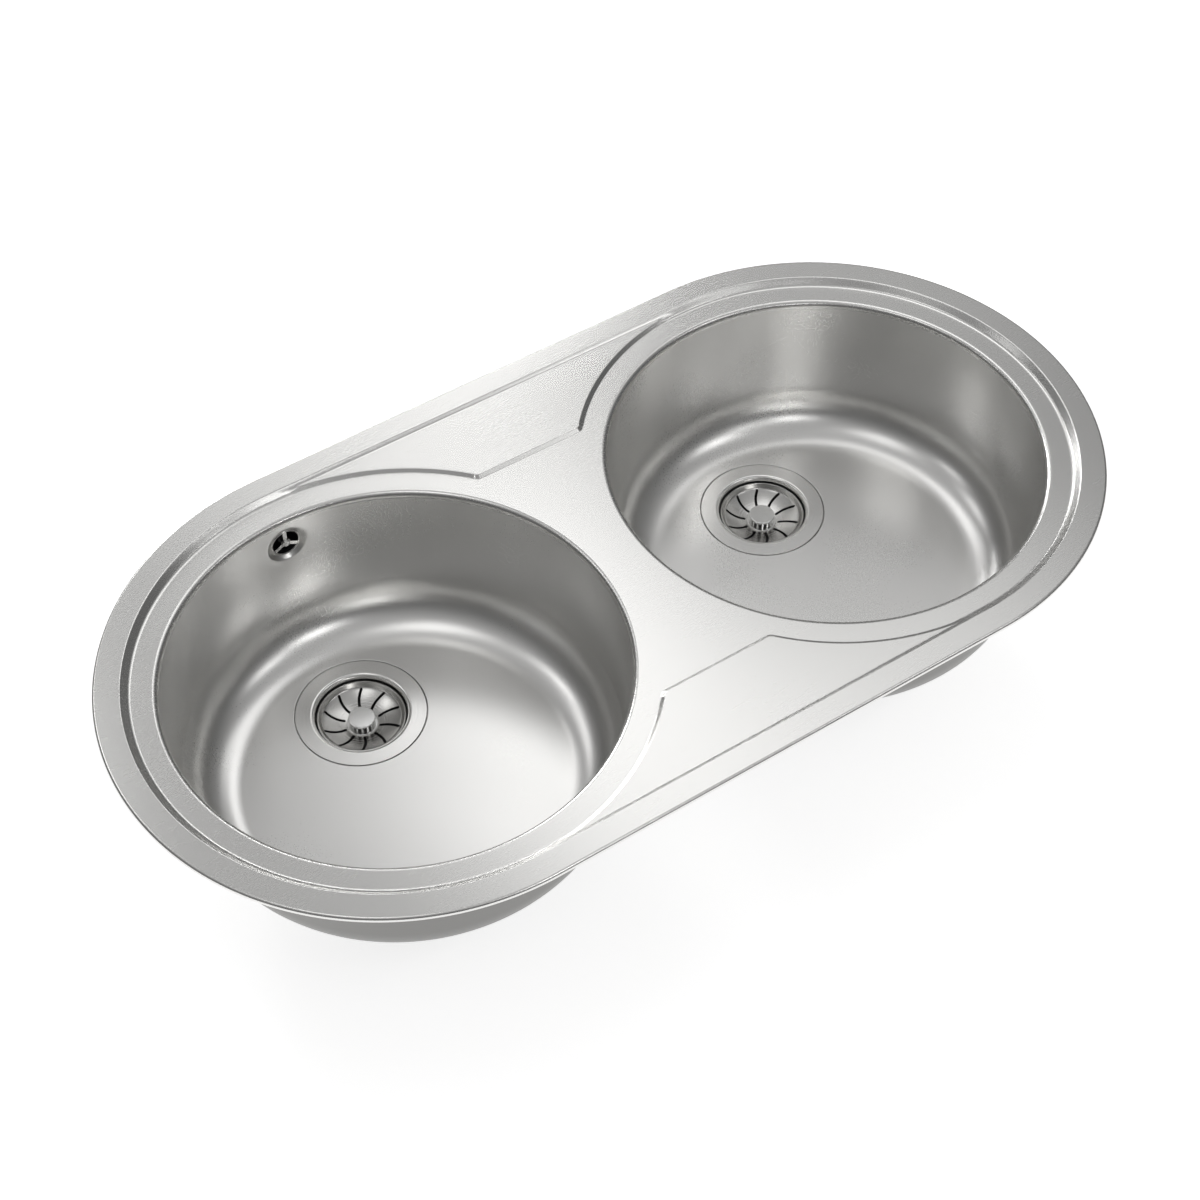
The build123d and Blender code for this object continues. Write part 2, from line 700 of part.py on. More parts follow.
def make_claw():
    """Claw of a clip, reaching along +X; the teeth on its toe bite the worktop from below."""
    back, front = -claw_width / 2, claw_reach - claw_sheet
    toe_top = claw_top_z + claw_toe
    strip = band(claw_sheet, (back, claw_top_z), (front, claw_top_z, 1.0), (front, toe_top))
    claw = Pos(0, claw_width / 2, 0) * extrude(Plane.XZ * strip, amount=claw_width)
    pitch = claw_width / claw_teeth
    for tooth in range(1, claw_teeth):
        y = tooth * pitch + back
        notch = Plane.YZ * pointed((y - pitch / 2, 1), (y, -claw_notch), (y + pitch / 2, 1))
        claw -= Pos(front - 1, 0, toe_top) * extrude(notch, amount=claw_sheet + 2)
    heel = [e for e in claw.edges().filter_by(Axis.Z) if e.center().X < back + 0.1]
    claw = fillet(heel, claw_width / 2 - 0.5)
    return claw - disc(screw_radius + screw_clearance, claw_top_z - 5, claw_top_z + 1)


def save(name, shape):
    export_step(shape, f"parts/{name}.step")


def save_waste(side, x):
    """Basket waste of one bowl with its strainer."""
    flange_seal_z = floor_z - recess_depth
    save(f"{side}_waste_flange", make_flange(x))
    save(f"{side}_flange_seal",
         washer(flange_seal_radius, seal_bore_radius, flange_seal_z, flange_seal_thickness, x))
    save(f"{side}_body_seal",
         washer(body_seal_radius, seal_bore_radius, body_top_z, body_seal_thickness, x))
    save(f"{side}_waste_body", make_body(side))
    save(f"{side}_waste_insert", make_insert(x))
    save(f"{side}_waste_screw", make_waste_screw(x))
    save(f"{side}_strainer", make_strainer(x))
    save(f"{side}_strainer_seal", make_strainer_seal(x))
    save(f"{side}_strainer_knob", make_knob(x))
    save(f"{side}_strainer_stem", make_stem(x))


def save_overflow():
    save("overflow_face", make_overflow_face())
    save("overflow_screw", make_overflow_screw())
    save("overflow_seal", make_overflow_seal())
    save("overflow_elbow", make_elbow())
    save("overflow_hose", make_hose())
    save("hose_clips", make_hose_clips())


def save_clips():
    brackets = []
    for name, (x, y, out, under) in clip_places().items():
        place = Pos(x, y, 0) * Rot(0, 0, out)
        brackets.append(place * make_bracket(under))
        save(f"clip_screw_{name}", place * make_screw())
        save(f"clip_claw_{name}", place * Rot(0, 0, -90) * make_claw())
    save("clip_brackets", Compound(children=brackets))


os.makedirs("parts", exist_ok=True)
save("deck", make_deck())
save("rim_seal", make_seal())
for side, x in bowls.items():
    save(f"{side}_bowl", make_bowl(side))
    save(f"{side}_sound_pad", make_pad(x))
    save_waste(side, x)
save_overflow()
save_clips()
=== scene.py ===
# %% [markdown]
# # A double bowl kitchen sink in stainless steel
# The sink is one pressed deck with two round drawn bowls welded below it. Each bowl has a basket
# waste with a lift-out strainer, the left bowl has an overflow, and clips under the rim hold the
# worktop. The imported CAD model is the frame: every piece here is built in the place where it sits
# there. Shapes are worked out in millimetres and put into their meshes in metres.

# %% Load the frame
import bpy
import numpy as np
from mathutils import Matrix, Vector
from mathutils.geometry import delaunay_2d_cdt


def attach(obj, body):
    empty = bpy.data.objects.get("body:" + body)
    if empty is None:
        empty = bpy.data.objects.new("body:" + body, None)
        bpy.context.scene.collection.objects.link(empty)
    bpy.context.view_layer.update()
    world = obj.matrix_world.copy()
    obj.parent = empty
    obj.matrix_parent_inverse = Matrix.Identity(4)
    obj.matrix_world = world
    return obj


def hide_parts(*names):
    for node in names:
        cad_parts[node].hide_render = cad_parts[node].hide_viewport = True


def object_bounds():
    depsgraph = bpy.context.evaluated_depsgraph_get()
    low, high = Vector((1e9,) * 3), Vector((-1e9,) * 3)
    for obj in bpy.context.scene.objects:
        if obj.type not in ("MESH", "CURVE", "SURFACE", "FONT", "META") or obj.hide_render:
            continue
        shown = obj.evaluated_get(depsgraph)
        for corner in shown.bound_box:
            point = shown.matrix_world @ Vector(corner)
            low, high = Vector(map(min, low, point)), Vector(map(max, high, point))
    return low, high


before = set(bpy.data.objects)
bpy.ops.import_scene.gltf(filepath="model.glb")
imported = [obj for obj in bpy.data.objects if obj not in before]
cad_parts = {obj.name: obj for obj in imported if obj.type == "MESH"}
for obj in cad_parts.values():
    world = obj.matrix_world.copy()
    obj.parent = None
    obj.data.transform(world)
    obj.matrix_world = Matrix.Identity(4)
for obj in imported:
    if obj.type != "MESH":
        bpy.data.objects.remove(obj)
cad_low, cad_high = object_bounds()
print("frame box in mm", [round(1000 * v, 1) for v in (*cad_low, *cad_high)])

# %% [markdown]
# ## Camera
# The photograph was taken from the front left, about fifty degrees above the worktop, with a long
# lens. A camera can be placed by eye or worked out from what is known. Here the outline of the
# deck, two half circles joined by straight sides, was fitted to the picture, which gives the lens
# and the place at once.

# %% Camera
focal_pixels, photo_pixels, sensor, distance = 2297.0, 1200, 36, 1.875

scene = bpy.context.scene
camera_data = bpy.data.cameras.new("camera")
camera_data.lens = focal_pixels / photo_pixels * sensor
camera_data.sensor_width = sensor
camera = bpy.data.objects.new("camera", camera_data)
scene.collection.objects.link(camera)
aim = np.array([-0.0438, -0.0360, 0.0035])
back = np.array([-0.3580, -0.5381, 0.7631])
back = back / np.linalg.norm(back)
camera.location = aim + distance * back
camera.rotation_euler = Vector(back).to_track_quat("Z", "Y").to_euler()
scene.camera = camera
print("camera", [round(v, 3) for v in camera.location], "lens", round(camera_data.lens, 1))

# %% [markdown]
# ## Shader helpers
# A material is a small graph of nodes. Writing each node out takes many lines, so one helper adds
# a node, sets its values and links its inputs. What several finishes share sits in a node group.


# %% Node helpers
def add(tree, kind, values=None, **settings):
    """New node of a kind in a tree. Values are numbers, or sockets of other nodes to link to."""
    node = tree.nodes.new(kind)
    for name, value in settings.items():
        setattr(node, name, value)
    for name, value in (values or {}).items():
        socket = node.inputs[name]
        if isinstance(value, bpy.types.NodeSocket):
            tree.links.new(value, socket)
        else:
            socket.default_value = value
    return node


def math(tree, operation, a, b=0.0, c=0.0):
    """Result of a Math node."""
    return add(tree, "ShaderNodeMath", {0: a, 1: b, 2: c}, operation=operation).outputs[0]


def ramp(tree, fac, *stops):
    """Colour ramp through stops of (place, grey level)."""
    node = add(tree, "ShaderNodeValToRGB", {"Fac": fac})
    elements = node.color_ramp.elements
    elements[0].position, elements[1].position = stops[0][0], stops[-1][0]
    for place, _ in stops[1:-1]:
        elements.new(place)
    for element, (place, grey) in zip(elements, stops):
        element.position, element.color = place, (grey, grey, grey, 1)
    return node.outputs["Color"]


def finish(name, base, roughness, metallic=0.0):
    """Material with one Principled shader. Returns the material, its tree and the shader."""
    material = bpy.data.materials.new(name)
    material.use_nodes = True
    shader = material.node_tree.nodes["Principled BSDF"]
    shader.inputs["Base Color"].default_value = (*base, 1)
    shader.inputs["Roughness"].default_value = roughness
    shader.inputs["Metallic"].default_value = metallic
    return material, material.node_tree, shader


def emboss(tree, shader, height, distance, strength):
    """Turns a height into the shader's normal with a Bump node."""
    values = {"Height": height, "Distance": distance, "Strength": strength}
    tree.links.new(add(tree, "ShaderNodeBump", values).outputs[0], shader.inputs["Normal"])


print("helpers ready")

# %% [markdown]
# ## The grain of rolled steel
# Satin stainless sheet has two scales of detail. Rolling and fine grinding leave grains far under
# a millimetre, a little longer along the sheet, and handling leaves soft clouds a hand's width
# across, where the surface is slightly duller. A picture of steel would repeat and blur. One group
# of noises makes both scales from the object's own coordinates instead, and gives them out as a
# height, a roughness and a shade.


# %% Group for rolled and ground steel
def grain_group():
    """Height is the fine noise plus a fifth of the middle one. Roughness is its input plus what
    the clouds and the middle noise depart from one half. Shade follows the clouds."""
    group = bpy.data.node_groups.new("rolled_grain", "ShaderNodeTree")
    face = group.interface
    face.new_socket("Vector", in_out="INPUT", socket_type="NodeSocketVector")
    for name, value in (("Roughness", 0.28), ("Spread", 0.03), ("Stretch", 0.12)):
        socket = face.new_socket(name, in_out="INPUT", socket_type="NodeSocketFloat")
        socket.default_value = value
    for name in ("Height", "Roughness", "Shade"):
        face.new_socket(name, in_out="OUTPUT", socket_type="NodeSocketFloat")
    start, end = add(group, "NodeGroupInput"), add(group, "NodeGroupOutput")
    place = start.outputs["Vector"]
    stretch = add(group, "ShaderNodeCombineXYZ",
                  {"X": start.outputs["Stretch"], "Y": 1.0, "Z": 1.0}).outputs[0]
    along = add(group, "ShaderNodeVectorMath", {0: place, 1: stretch},
                operation="MULTIPLY").outputs[0]
    fine, mid, cloud = [
        add(group, "ShaderNodeTexNoise", {"Vector": vector, "Scale": scale, "Detail": detail})
        .outputs["Fac"]
        for vector, scale, detail in ((along, 2600.0, 1.0), (along, 900.0, 1.0), (place, 9.0, 2.0))]
    height = math(group, "ADD", fine, math(group, "MULTIPLY", mid, 0.2))
    soft = math(group, "SUBTRACT", cloud, 0.5)
    rough = math(group, "MULTIPLY_ADD", soft, start.outputs["Spread"], start.outputs["Roughness"])
    rough = math(group, "MULTIPLY_ADD", math(group, "SUBTRACT", mid, 0.5), 0.02, rough)
    shade = math(group, "MULTIPLY_ADD", soft, 0.03, 1.0)
    for name, value in (("Height", height), ("Roughness", rough), ("Shade", shade)):
        group.links.new(value, end.inputs[name])
    return group


rolled_grain = grain_group()
print("group", rolled_grain.name, len(rolled_grain.nodes), "nodes")


# %% Finishes of the deck and the bowls
def steel(name, base, roughness, spread=0.02, stretch=0.08, bump=1e-7):
    """Stainless or plated steel with the shared grain."""
    material, tree, shader = finish(name, base, roughness, 1.0)
    values = {"Vector": add(tree, "ShaderNodeTexCoord").outputs["Object"],
              "Roughness": roughness, "Spread": spread, "Stretch": stretch}
    grain = add(tree, "ShaderNodeGroup", values, node_tree=rolled_grain)
    tint = add(tree, "ShaderNodeVectorMath", {0: base, "Scale": grain.outputs["Shade"]},
               operation="SCALE")
    tree.links.new(tint.outputs[0], shader.inputs["Base Color"])
    tree.links.new(grain.outputs["Roughness"], shader.inputs["Roughness"])
    emboss(tree, shader, grain.outputs["Height"], bump, 0.5)
    return material


satin_steel = steel("satin_steel", (0.82, 0.815, 0.80), 0.27)
bowl_steel = steel("bowl_steel", (0.84, 0.835, 0.82), 0.28, spread=0.03, stretch=1.0)
# Backs of the deck and the bowls: a rougher unpolished finish, and a dark base colour that is
# painted shade for the undersides, where little light falls.
rough_shaded_steel = steel("rough_shaded_steel", (0.27, 0.267, 0.26), 0.36, spread=0.08, stretch=1.0, bump=4e-6)
print("steel", satin_steel.name, bowl_steel.name, rough_shaded_steel.name)

# %% [markdown]
# ## Turned and pressed bright steel
# The waste flange and the strainer are polished while they spin, which leaves rings as fine as
# hairs round their own middle. Rings could follow a map laid over each piece. Both wastes sit at
# the same distance from the middle of the sink, so one formula serves both: take the absolute
# value of x, move to the waste, and measure the radius.

# %% Group for rings left by spinning
MM = 0.001
half_pitch, waste_y = 215.5, 80.0


def noise_rings(tree, radius, scale, detail):
    """Noise along the radius alone."""
    return add(tree, "ShaderNodeTexNoise", {"W": radius, "Scale": scale, "Detail": detail},
               noise_dimensions="1D").outputs["Fac"]


def ring_group():
    """Height and mask are noises along the radius: the root of the sum of the squared distances
    from the waste's middle, in x and in y."""
    group = bpy.data.node_groups.new("spun_rings", "ShaderNodeTree")
    face = group.interface
    face.new_socket("Vector", in_out="INPUT", socket_type="NodeSocketVector")
    for name in ("Height", "Mask"):
        face.new_socket(name, in_out="OUTPUT", socket_type="NodeSocketFloat")
    start, end = add(group, "NodeGroupInput"), add(group, "NodeGroupOutput")
    parts = add(group, "ShaderNodeSeparateXYZ", {"Vector": start.outputs["Vector"]})
    x = math(group, "SUBTRACT", math(group, "ABSOLUTE", parts.outputs["X"]), half_pitch * MM)
    y = math(group, "SUBTRACT", parts.outputs["Y"], waste_y * MM)
    radius = math(group, "SQRT", math(group, "ADD", math(group, "MULTIPLY", x, x),
                                      math(group, "MULTIPLY", y, y)))
    group.links.new(noise_rings(group, radius, 5200.0, 3.0), end.inputs["Height"])
    group.links.new(noise_rings(group, radius, 700.0, 1.0), end.inputs["Mask"])
    return group


spun_rings = ring_group()
print("group", spun_rings.name, len(spun_rings.nodes), "nodes")


# %% Finishes of the flange, the strainer and the knob
def spun_steel(name, base, roughness, bump):
    """Polished steel with fine rings round the waste. The rings' mask adds or takes 0.04 of
    roughness."""
    material, tree, shader = finish(name, base, roughness, 1.0)
    place = add(tree, "ShaderNodeTexCoord").outputs["Object"]
    rings = add(tree, "ShaderNodeGroup", {"Vector": place}, node_tree=spun_rings)
    level = math(tree, "MULTIPLY_ADD", rings.outputs["Mask"], 0.08, roughness - 0.04)
    tree.links.new(level, shader.inputs["Roughness"])
    emboss(tree, shader, rings.outputs["Height"], bump, 0.6)
    return material


flange_steel = spun_steel("flange_steel", (0.82, 0.815, 0.80), 0.24, 6e-6)
strainer_steel = spun_steel("strainer_steel", (0.62, 0.615, 0.60), 0.25, 3e-6)
knob_steel = spun_steel("knob_steel", (0.80, 0.80, 0.79), 0.20, 3e-6)
# Near-black steel for the knob's core between its ribs: painted shade that stands in for the shadow
# in the gaps.
notch_shade_steel = steel("notch_shade_steel", (0.10, 0.098, 0.095), 0.45, stretch=1.0)
print("spun finishes", flange_steel.name, strainer_steel.name, knob_steel.name)

# %% [markdown]
# ## Finishes of the hidden parts
# What hangs below the deck is plated steel, moulded plastic, rubber, foam and brass. Each has its
# own small detail: crystals on zinc, a fine moulded grain on plastic, pores in foam, pebbles on
# the damping pads. A noise or a cell pattern at the right size is enough for each.


# %% Plated, moulded and foamed finishes
def grainy(name, base, dark, roughness, scale, bump, metallic=0.0, cells=False,
           low=0.35, high=0.65):
    """Finish whose colour runs from dark to base as one noise or cell pattern runs from low to
    high. The same pattern is its height, and adds or takes 0.05 of roughness. A Mix node for
    colours has them at its inputs 6 and 7, and its result at output 2."""
    material, tree, shader = finish(name, base, roughness, metallic)
    place = add(tree, "ShaderNodeTexCoord").outputs["Object"]
    if cells:
        pattern = add(tree, "ShaderNodeTexVoronoi",
                      {"Vector": place, "Scale": scale}).outputs["Distance"]
    else:
        pattern = add(tree, "ShaderNodeTexNoise",
                      {"Vector": place, "Scale": scale, "Detail": 4.0}).outputs["Fac"]
    share = add(tree, "ShaderNodeMapRange",
                {"Value": pattern, "From Min": low, "From Max": high}).outputs[0]
    mix = add(tree, "ShaderNodeMix", {"Factor": share, 6: (*dark, 1), 7: (*base, 1)},
              data_type="RGBA")
    tree.links.new(mix.outputs[2], shader.inputs["Base Color"])
    level = math(tree, "MULTIPLY_ADD", share, 0.1, roughness - 0.05)
    tree.links.new(level, shader.inputs["Roughness"])
    emboss(tree, shader, pattern, bump, 0.6)
    return material


zinc_steel = grainy("zinc_steel", (0.66, 0.67, 0.69), (0.52, 0.53, 0.55), 0.36, 350, 1e-5, 1.0)
zinc_screw = grainy("zinc_screw", (0.72, 0.72, 0.70), (0.60, 0.60, 0.58), 0.26, 900, 6e-6, 1.0)
claw_steel = grainy("claw_steel", (0.62, 0.63, 0.65), (0.48, 0.49, 0.51), 0.40, 420, 1e-5, 1.0)
spring_steel = grainy("spring_steel", (0.60, 0.60, 0.59), (0.50, 0.50, 0.50), 0.24, 600, 5e-6, 1.0)
bright_steel = grainy("bright_steel", (0.76, 0.755, 0.74), (0.68, 0.675, 0.66), 0.20, 1200, 3e-6,
                      1.0)
brass = grainy("brass", (0.80, 0.63, 0.33), (0.66, 0.50, 0.25), 0.28, 500, 6e-6, 1.0)
black_plastic, tail_plastic = [
    grainy(name, (0.032, 0.032, 0.034), (0.018, 0.018, 0.02), 0.38, 1500, 3e-5)
    for name in ("black_plastic", "tail_plastic")]
grey_hose = grainy("grey_hose", (0.55, 0.56, 0.57), (0.48, 0.49, 0.50), 0.46, 900, 3e-5)
black_rubber = grainy("black_rubber", (0.035, 0.035, 0.037), (0.02, 0.02, 0.022), 0.62, 1100, 4e-5)
seal_foam = grainy("seal_foam", (0.11, 0.11, 0.115), (0.04, 0.04, 0.042), 0.85, 900, 3e-4,
                   cells=True, low=0.1, high=0.5)
flange_foam = grainy("flange_foam", (0.16, 0.16, 0.165), (0.07, 0.07, 0.072), 0.85, 1300, 2e-4,
                     cells=True, low=0.1, high=0.5)
damping_pad = grainy("damping_pad", (0.105, 0.105, 0.11), (0.045, 0.045, 0.048), 0.75, 260, 6e-4,
                     cells=True, low=0.1, high=0.6)
print("finishes", len(bpy.data.materials))

# %% [markdown]
# ## Threads and hose ribs
# The waste's tail and the clip screws carry threads, and the overflow hose is ribbed so that it
# bends. All three are small, hidden and the same all along, so they are drawn as relief in the
# material and not as geometry. The relief follows the piece: the angle round the tail for the
# thread that climbs it, the height for a screw, and the length along the bent hose for its ribs.


# %% Threads and hose ribs as relief
def relief(material, height, depth):
    """Adds a second relief under the grain of a material."""
    tree = material.node_tree
    coarse = add(tree, "ShaderNodeBump", {"Height": height, "Distance": depth})
    tree.links.new(coarse.outputs[0], tree.nodes["Bump"].inputs["Normal"])


def object_parts(material):
    """Tree of a material and its object coordinates x, y and z, in metres."""
    tree = material.node_tree
    place = add(tree, "ShaderNodeTexCoord").outputs["Object"]
    return tree, add(tree, "ShaderNodeSeparateXYZ", {"Vector": place}).outputs


tail_pitch, tail_top, thread_depth = 0.00231, -0.2020, 0.0016
tree, (x, y, z) = object_parts(tail_plastic)
across = math(tree, "SUBTRACT", x,
              math(tree, "MULTIPLY", math(tree, "SIGN", x), half_pitch * MM))
turn = math(tree, "ARCTAN2", math(tree, "SUBTRACT", y, waste_y * MM), across)
climb = math(tree, "MULTIPLY_ADD", z, 1 / tail_pitch,
             math(tree, "MULTIPLY", turn, -1 / (2 * np.pi)))
ridge = math(tree, "PINGPONG", climb, 0.5)
below_top = math(tree, "LESS_THAN", z, tail_top)
relief(tail_plastic, math(tree, "MULTIPLY", ridge, below_top), thread_depth)

screw_pitch, screw_low, screw_depth = 0.0008, -0.0430, 0.0006
tree, (x, y, z) = object_parts(zinc_screw)
ridge = math(tree, "PINGPONG", math(tree, "MULTIPLY", z, 1 / screw_pitch), 0.5)
above_low = math(tree, "GREATER_THAN", z, screw_low)
relief(zinc_screw, math(tree, "MULTIPLY", ridge, above_low), screw_depth)

bend_y, bend_z, bend_radius, rib_pitch, rib_depth = 0.16405, -0.1303, 0.042, 0.004, 0.0006
tree, (x, y, z) = object_parts(grey_hose)
over, out = math(tree, "ADD", z, -bend_z), math(tree, "SUBTRACT", y, bend_y)
below = math(tree, "MAXIMUM", math(tree, "MULTIPLY", over, -1.0), 0.0)
turn = math(tree, "ARCTAN2", below, math(tree, "MAXIMUM", out, 0.0))
run = math(tree, "ADD", math(tree, "MAXIMUM", over, 0.0), math(tree, "MINIMUM", out, 0.0))
run = math(tree, "MULTIPLY_ADD", turn, -bend_radius, run)
ribs = math(tree, "SINE", math(tree, "MULTIPLY", run, 2 * np.pi / rib_pitch))
relief(grey_hose, ribs, rib_depth)
print("threads and ribs on", tail_plastic.name, zinc_screw.name, grey_hose.name)

# %% [markdown]
# ## Pieces that keep their CAD shape
# Brackets, screws, claws, seals, pads, waste bodies and the hose are small or hidden, and their
# CAD solids are already right. They could be drawn again, but a material is all that they lack.


# %% Dress the nodes
def dress(material, *names):
    """Gives one material to every slot of some nodes."""
    for name in names:
        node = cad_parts[name]
        if not node.material_slots:
            node.data.materials.append(material)
        for slot in node.material_slots:
            slot.material = material


sides = ("left", "right")
clip_names = [f"{row}_{side}" for row in ("front", "back") for side in sides]
clip_names += [f"{side}_{row}" for side in sides for row in ("front", "back")]
dress(satin_steel, "deck")
dress(seal_foam, "rim_seal")
dress(zinc_steel, "clip_brackets")
dress(zinc_screw, *[f"clip_screw_{name}" for name in clip_names])
dress(claw_steel, *[f"clip_claw_{name}" for name in clip_names])
dress(bright_steel, "overflow_face", "overflow_screw")
dress(black_rubber, "overflow_seal")
dress(black_plastic, "overflow_elbow")
dress(grey_hose, "overflow_hose")
dress(spring_steel, "hose_clips")
for side in sides:
    dress(bowl_steel, f"{side}_bowl")
    dress(damping_pad, f"{side}_sound_pad")
    dress(flange_steel, f"{side}_waste_flange")
    dress(strainer_steel, f"{side}_strainer")
    dress(knob_steel, f"{side}_strainer_knob")
    dress(bright_steel, f"{side}_strainer_stem", f"{side}_waste_screw")
    dress(black_rubber, f"{side}_strainer_seal", f"{side}_body_seal")
    dress(flange_foam, f"{side}_flange_seal")
    dress(tail_plastic, f"{side}_waste_body")
    dress(brass, f"{side}_waste_insert")
print("dressed", len(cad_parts), "nodes")

# %% [markdown]
# ## Pressed sheet
# Nearly everything that shows is sheet steel pressed into shape: flat in the flat places, with
# narrow bends between them. Polished steel shows every facet, so a bend needs many small faces and
# a flat place needs none. One way is a fine even grid, which is heavy and still cuts across the
# bends. Here the bends are drawn as lines in the flat blank, and triangles are laid between the
# lines. A formula then presses the blank: it takes a place in the blank and gives the place in
# space. The normals come from the same formula, so the shading is as smooth as the formula is.


# %% Lines in the blank and triangles between them
def circle(radius, centre=(0.0, 0.0), step=1.5):
    """Closed line of points round a centre: radius times cosine and sine of an angle that grows
    by a step of degrees."""
    angle = np.radians(np.arange(0, 360, step))
    return np.column_stack((centre[0] + radius * np.cos(angle),
                            centre[1] + radius * np.sin(angle)))


def triangles(closed, open_lines, keep):
    """Triangles between lines in a plane, without those whose middle fails the keep test."""
    points, edges, start = [], [], 0
    for lines, loop in ((closed, True), (open_lines, False)):
        for line in lines:
            index = np.arange(start, start + len(line))
            pairs = np.column_stack((index, np.roll(index, -1)))
            edges.append(pairs if loop else pairs[:-1])
            points.append(line)
            start += len(line)
    flat = [Vector(point) for point in np.vstack(points).tolist()]
    corners, _, faces, *_ = delaunay_2d_cdt(flat, np.vstack(edges).tolist(), [], 0, 1e-5)
    plane, faces = np.array([corner[:] for corner in corners]), np.array(faces)
    faces = faces[keep(plane[faces].mean(axis=1))]
    used, faces = np.unique(faces, return_inverse=True)
    return plane[used], faces.reshape(-1, 3)


print("lines and triangles ready")


# %% Objects from points, and sheets with a front, a back and cut edges
def make_object(name, points, normals, faces, body, replaced, *materials, slots=None):
    """Object from points in millimetres with given normals. It rides on a body and replaces
    nodes."""
    mesh = bpy.data.meshes.new(name)
    mesh.from_pydata((points * MM).tolist(), [], [list(map(int, face)) for face in faces])
    mesh.polygons.foreach_set("use_smooth", np.ones(len(mesh.polygons), bool))
    for material in materials:
        mesh.materials.append(material)
    if slots is not None:
        mesh.polygons.foreach_set("material_index", slots.astype(np.int32))
    mesh.normals_split_custom_set_from_vertices(normals.tolist())
    thing = bpy.data.objects.new(name, mesh)
    scene.collection.objects.link(thing)
    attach(thing, body)
    if replaced:
        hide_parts(*replaced)
    print(name, len(points), "points", len(faces), "faces")
    return thing


def unit(vectors):
    """Each vector divided by its own length."""
    return vectors / np.maximum(np.linalg.norm(vectors, axis=1, keepdims=True), 1e-12)


def sheet(top, under, normal, faces):
    """Points, normals and faces of a sheet. An edge that only one triangle has is a cut edge, and
    gets a wall of four points, which looks out along the edge's direction crossed with the
    normal."""
    edges = np.vstack((faces[:, [0, 1]], faces[:, [1, 2]], faces[:, [2, 0]]))
    twins = {(b, a) for a, b in edges.tolist()}
    cut = np.array([pair for pair in map(tuple, edges.tolist()) if pair not in twins])
    a, b = cut[:, 0], cut[:, 1]
    out = unit(np.cross(top[b] - top[a], normal[a]))
    count, edge = len(top), len(cut)
    base = 2 * count + np.arange(edge)
    walls = np.column_stack((base + edge, base, base + 3 * edge, base + 2 * edge))
    points = np.vstack((top, under, top[a], top[b], under[b], under[a]))
    normals = np.vstack((normal, -normal, out, out, out, out))
    return points, normals, faces.tolist() + (faces[:, ::-1] + count).tolist() + walls.tolist()


thickness, probe = 0.8, 0.02


def press(name, plane, faces, form, body, replaced, front, behind):
    """Sheet pressed by a formula. Its normal is the cross product of the formula's two slopes,
    measured over a short probe, and its back lies one thickness behind its front."""
    east, north = np.array([[probe, 0.0]]), np.array([[0.0, probe]])
    top = form(plane)
    normal = unit(np.cross(form(plane + east) - form(plane - east),
                           form(plane + north) - form(plane - north)))
    points, normals, everything = sheet(top, top - thickness * normal, normal, faces)
    slots = np.zeros(len(everything))
    slots[len(faces):2 * len(faces)] = 1
    return make_object(name, points, normals, everything, body, replaced, front, behind,
                       slots=slots)


print("sheets of", thickness, "mm")

# %% [markdown]
# ## The deck
# The deck is one pressing: a rolled outer edge, a flat rim, a slope down to the ledge, two raised
# panels and two collars that hold the bowls. It could be built from many joined surfaces. Here all
# of it follows distances: from the outline, from a panel's foot and from the middle of a bowl. The
# blank is the deck rolled out flat, so the edge and the collars, which stand upright, become plain
# rings in it.

# %% Profile of the rim
rim_radius, ledge, quarter = 241.0, -2.5, np.pi / 2
edge_round, edge_drop = 2.6, 0.9
shoulder_from, shoulder_round, shoulder_run = 21.672, 2.0, 1.414
slope_from, slope_run = 23.086, 3.949
foot_from, foot_to, foot_round, foot_run = 27.035, 30.571, 5.0, 3.536


def rim_profile(s):
    """Distance inside the outline, and height, at a length s along the sheet from the rim's edge:
    a quarter round, a flat, a round shoulder, a slope of 45 degrees and a round foot."""
    turn = np.clip((edge_round - s) / edge_round, 0, quarter)
    d = np.where(s > edge_round, s, edge_round - edge_round * np.sin(turn))
    z = (edge_drop + edge_round * np.cos(turn)
         - np.maximum(edge_round - edge_round * quarter - s, 0))
    top = np.clip(s - shoulder_from, 0, shoulder_run)
    z = z - (shoulder_round - np.sqrt(shoulder_round**2 - top**2))
    z = z - np.clip(s - slope_from, 0, slope_run)
    foot = np.clip(foot_to - s, 0, foot_run)
    bottom = foot_round - np.sqrt(foot_round**2 - foot**2) + ledge
    return d, np.where(s > foot_from, bottom, z)


print("rim", rim_radius, "mm round each bowl, ledge at", ledge, "mm")

# %% Profile and place of the panels
panel_round, panel_bend, panel_rise, panel_run = 1.5, 0.992, 3, 3.4
panel_foot, side_from, side_to, panel_top = -0.567, 0.425, 2.975, 3.967
panel_ring, panel_front, corner_x, corner_y, corner_round = 213.2, 138.1, 49.2, 146.5, 8.4
corner_turn = 41.38


def panel_profile(e):
    """Height above the ledge at a distance e inside a panel's foot: a round foot, a straight side
    and a round top."""
    foot = panel_round - np.sqrt(
        panel_round**2 - np.clip(e - panel_foot, 0, panel_bend) ** 2)
    top = panel_round + np.sqrt(
        panel_round**2 - np.clip(panel_top - e, 0, panel_bend) ** 2)
    side = e * panel_rise / panel_run
    return np.where(e < side_from, foot, np.where(e < side_to, side, top))


def panel_distance(x, y):
    """Distance inside the foot of the nearest panel: from a ring round the bowl or the straight
    front, whichever is less, and from a round where the two meet."""
    x, y = np.abs(x), np.abs(y)
    ring = np.hypot(x - half_pitch, y) - panel_ring
    across, along = x - corner_x, y - corner_y
    corner = corner_round - np.hypot(across, along)
    turn = np.degrees(np.arctan2(along, across))
    return np.where((turn > -90) & (turn < -corner_turn), corner,
                    np.minimum(ring, y - panel_front))


print("panels rise", panel_rise, "mm")

# %% The formula that presses the deck
collar_from, collar_round, collar_straight, collar_end = 194.6, 5.0, 186.746, 185.246
outline_from, panels_from = 200, 18


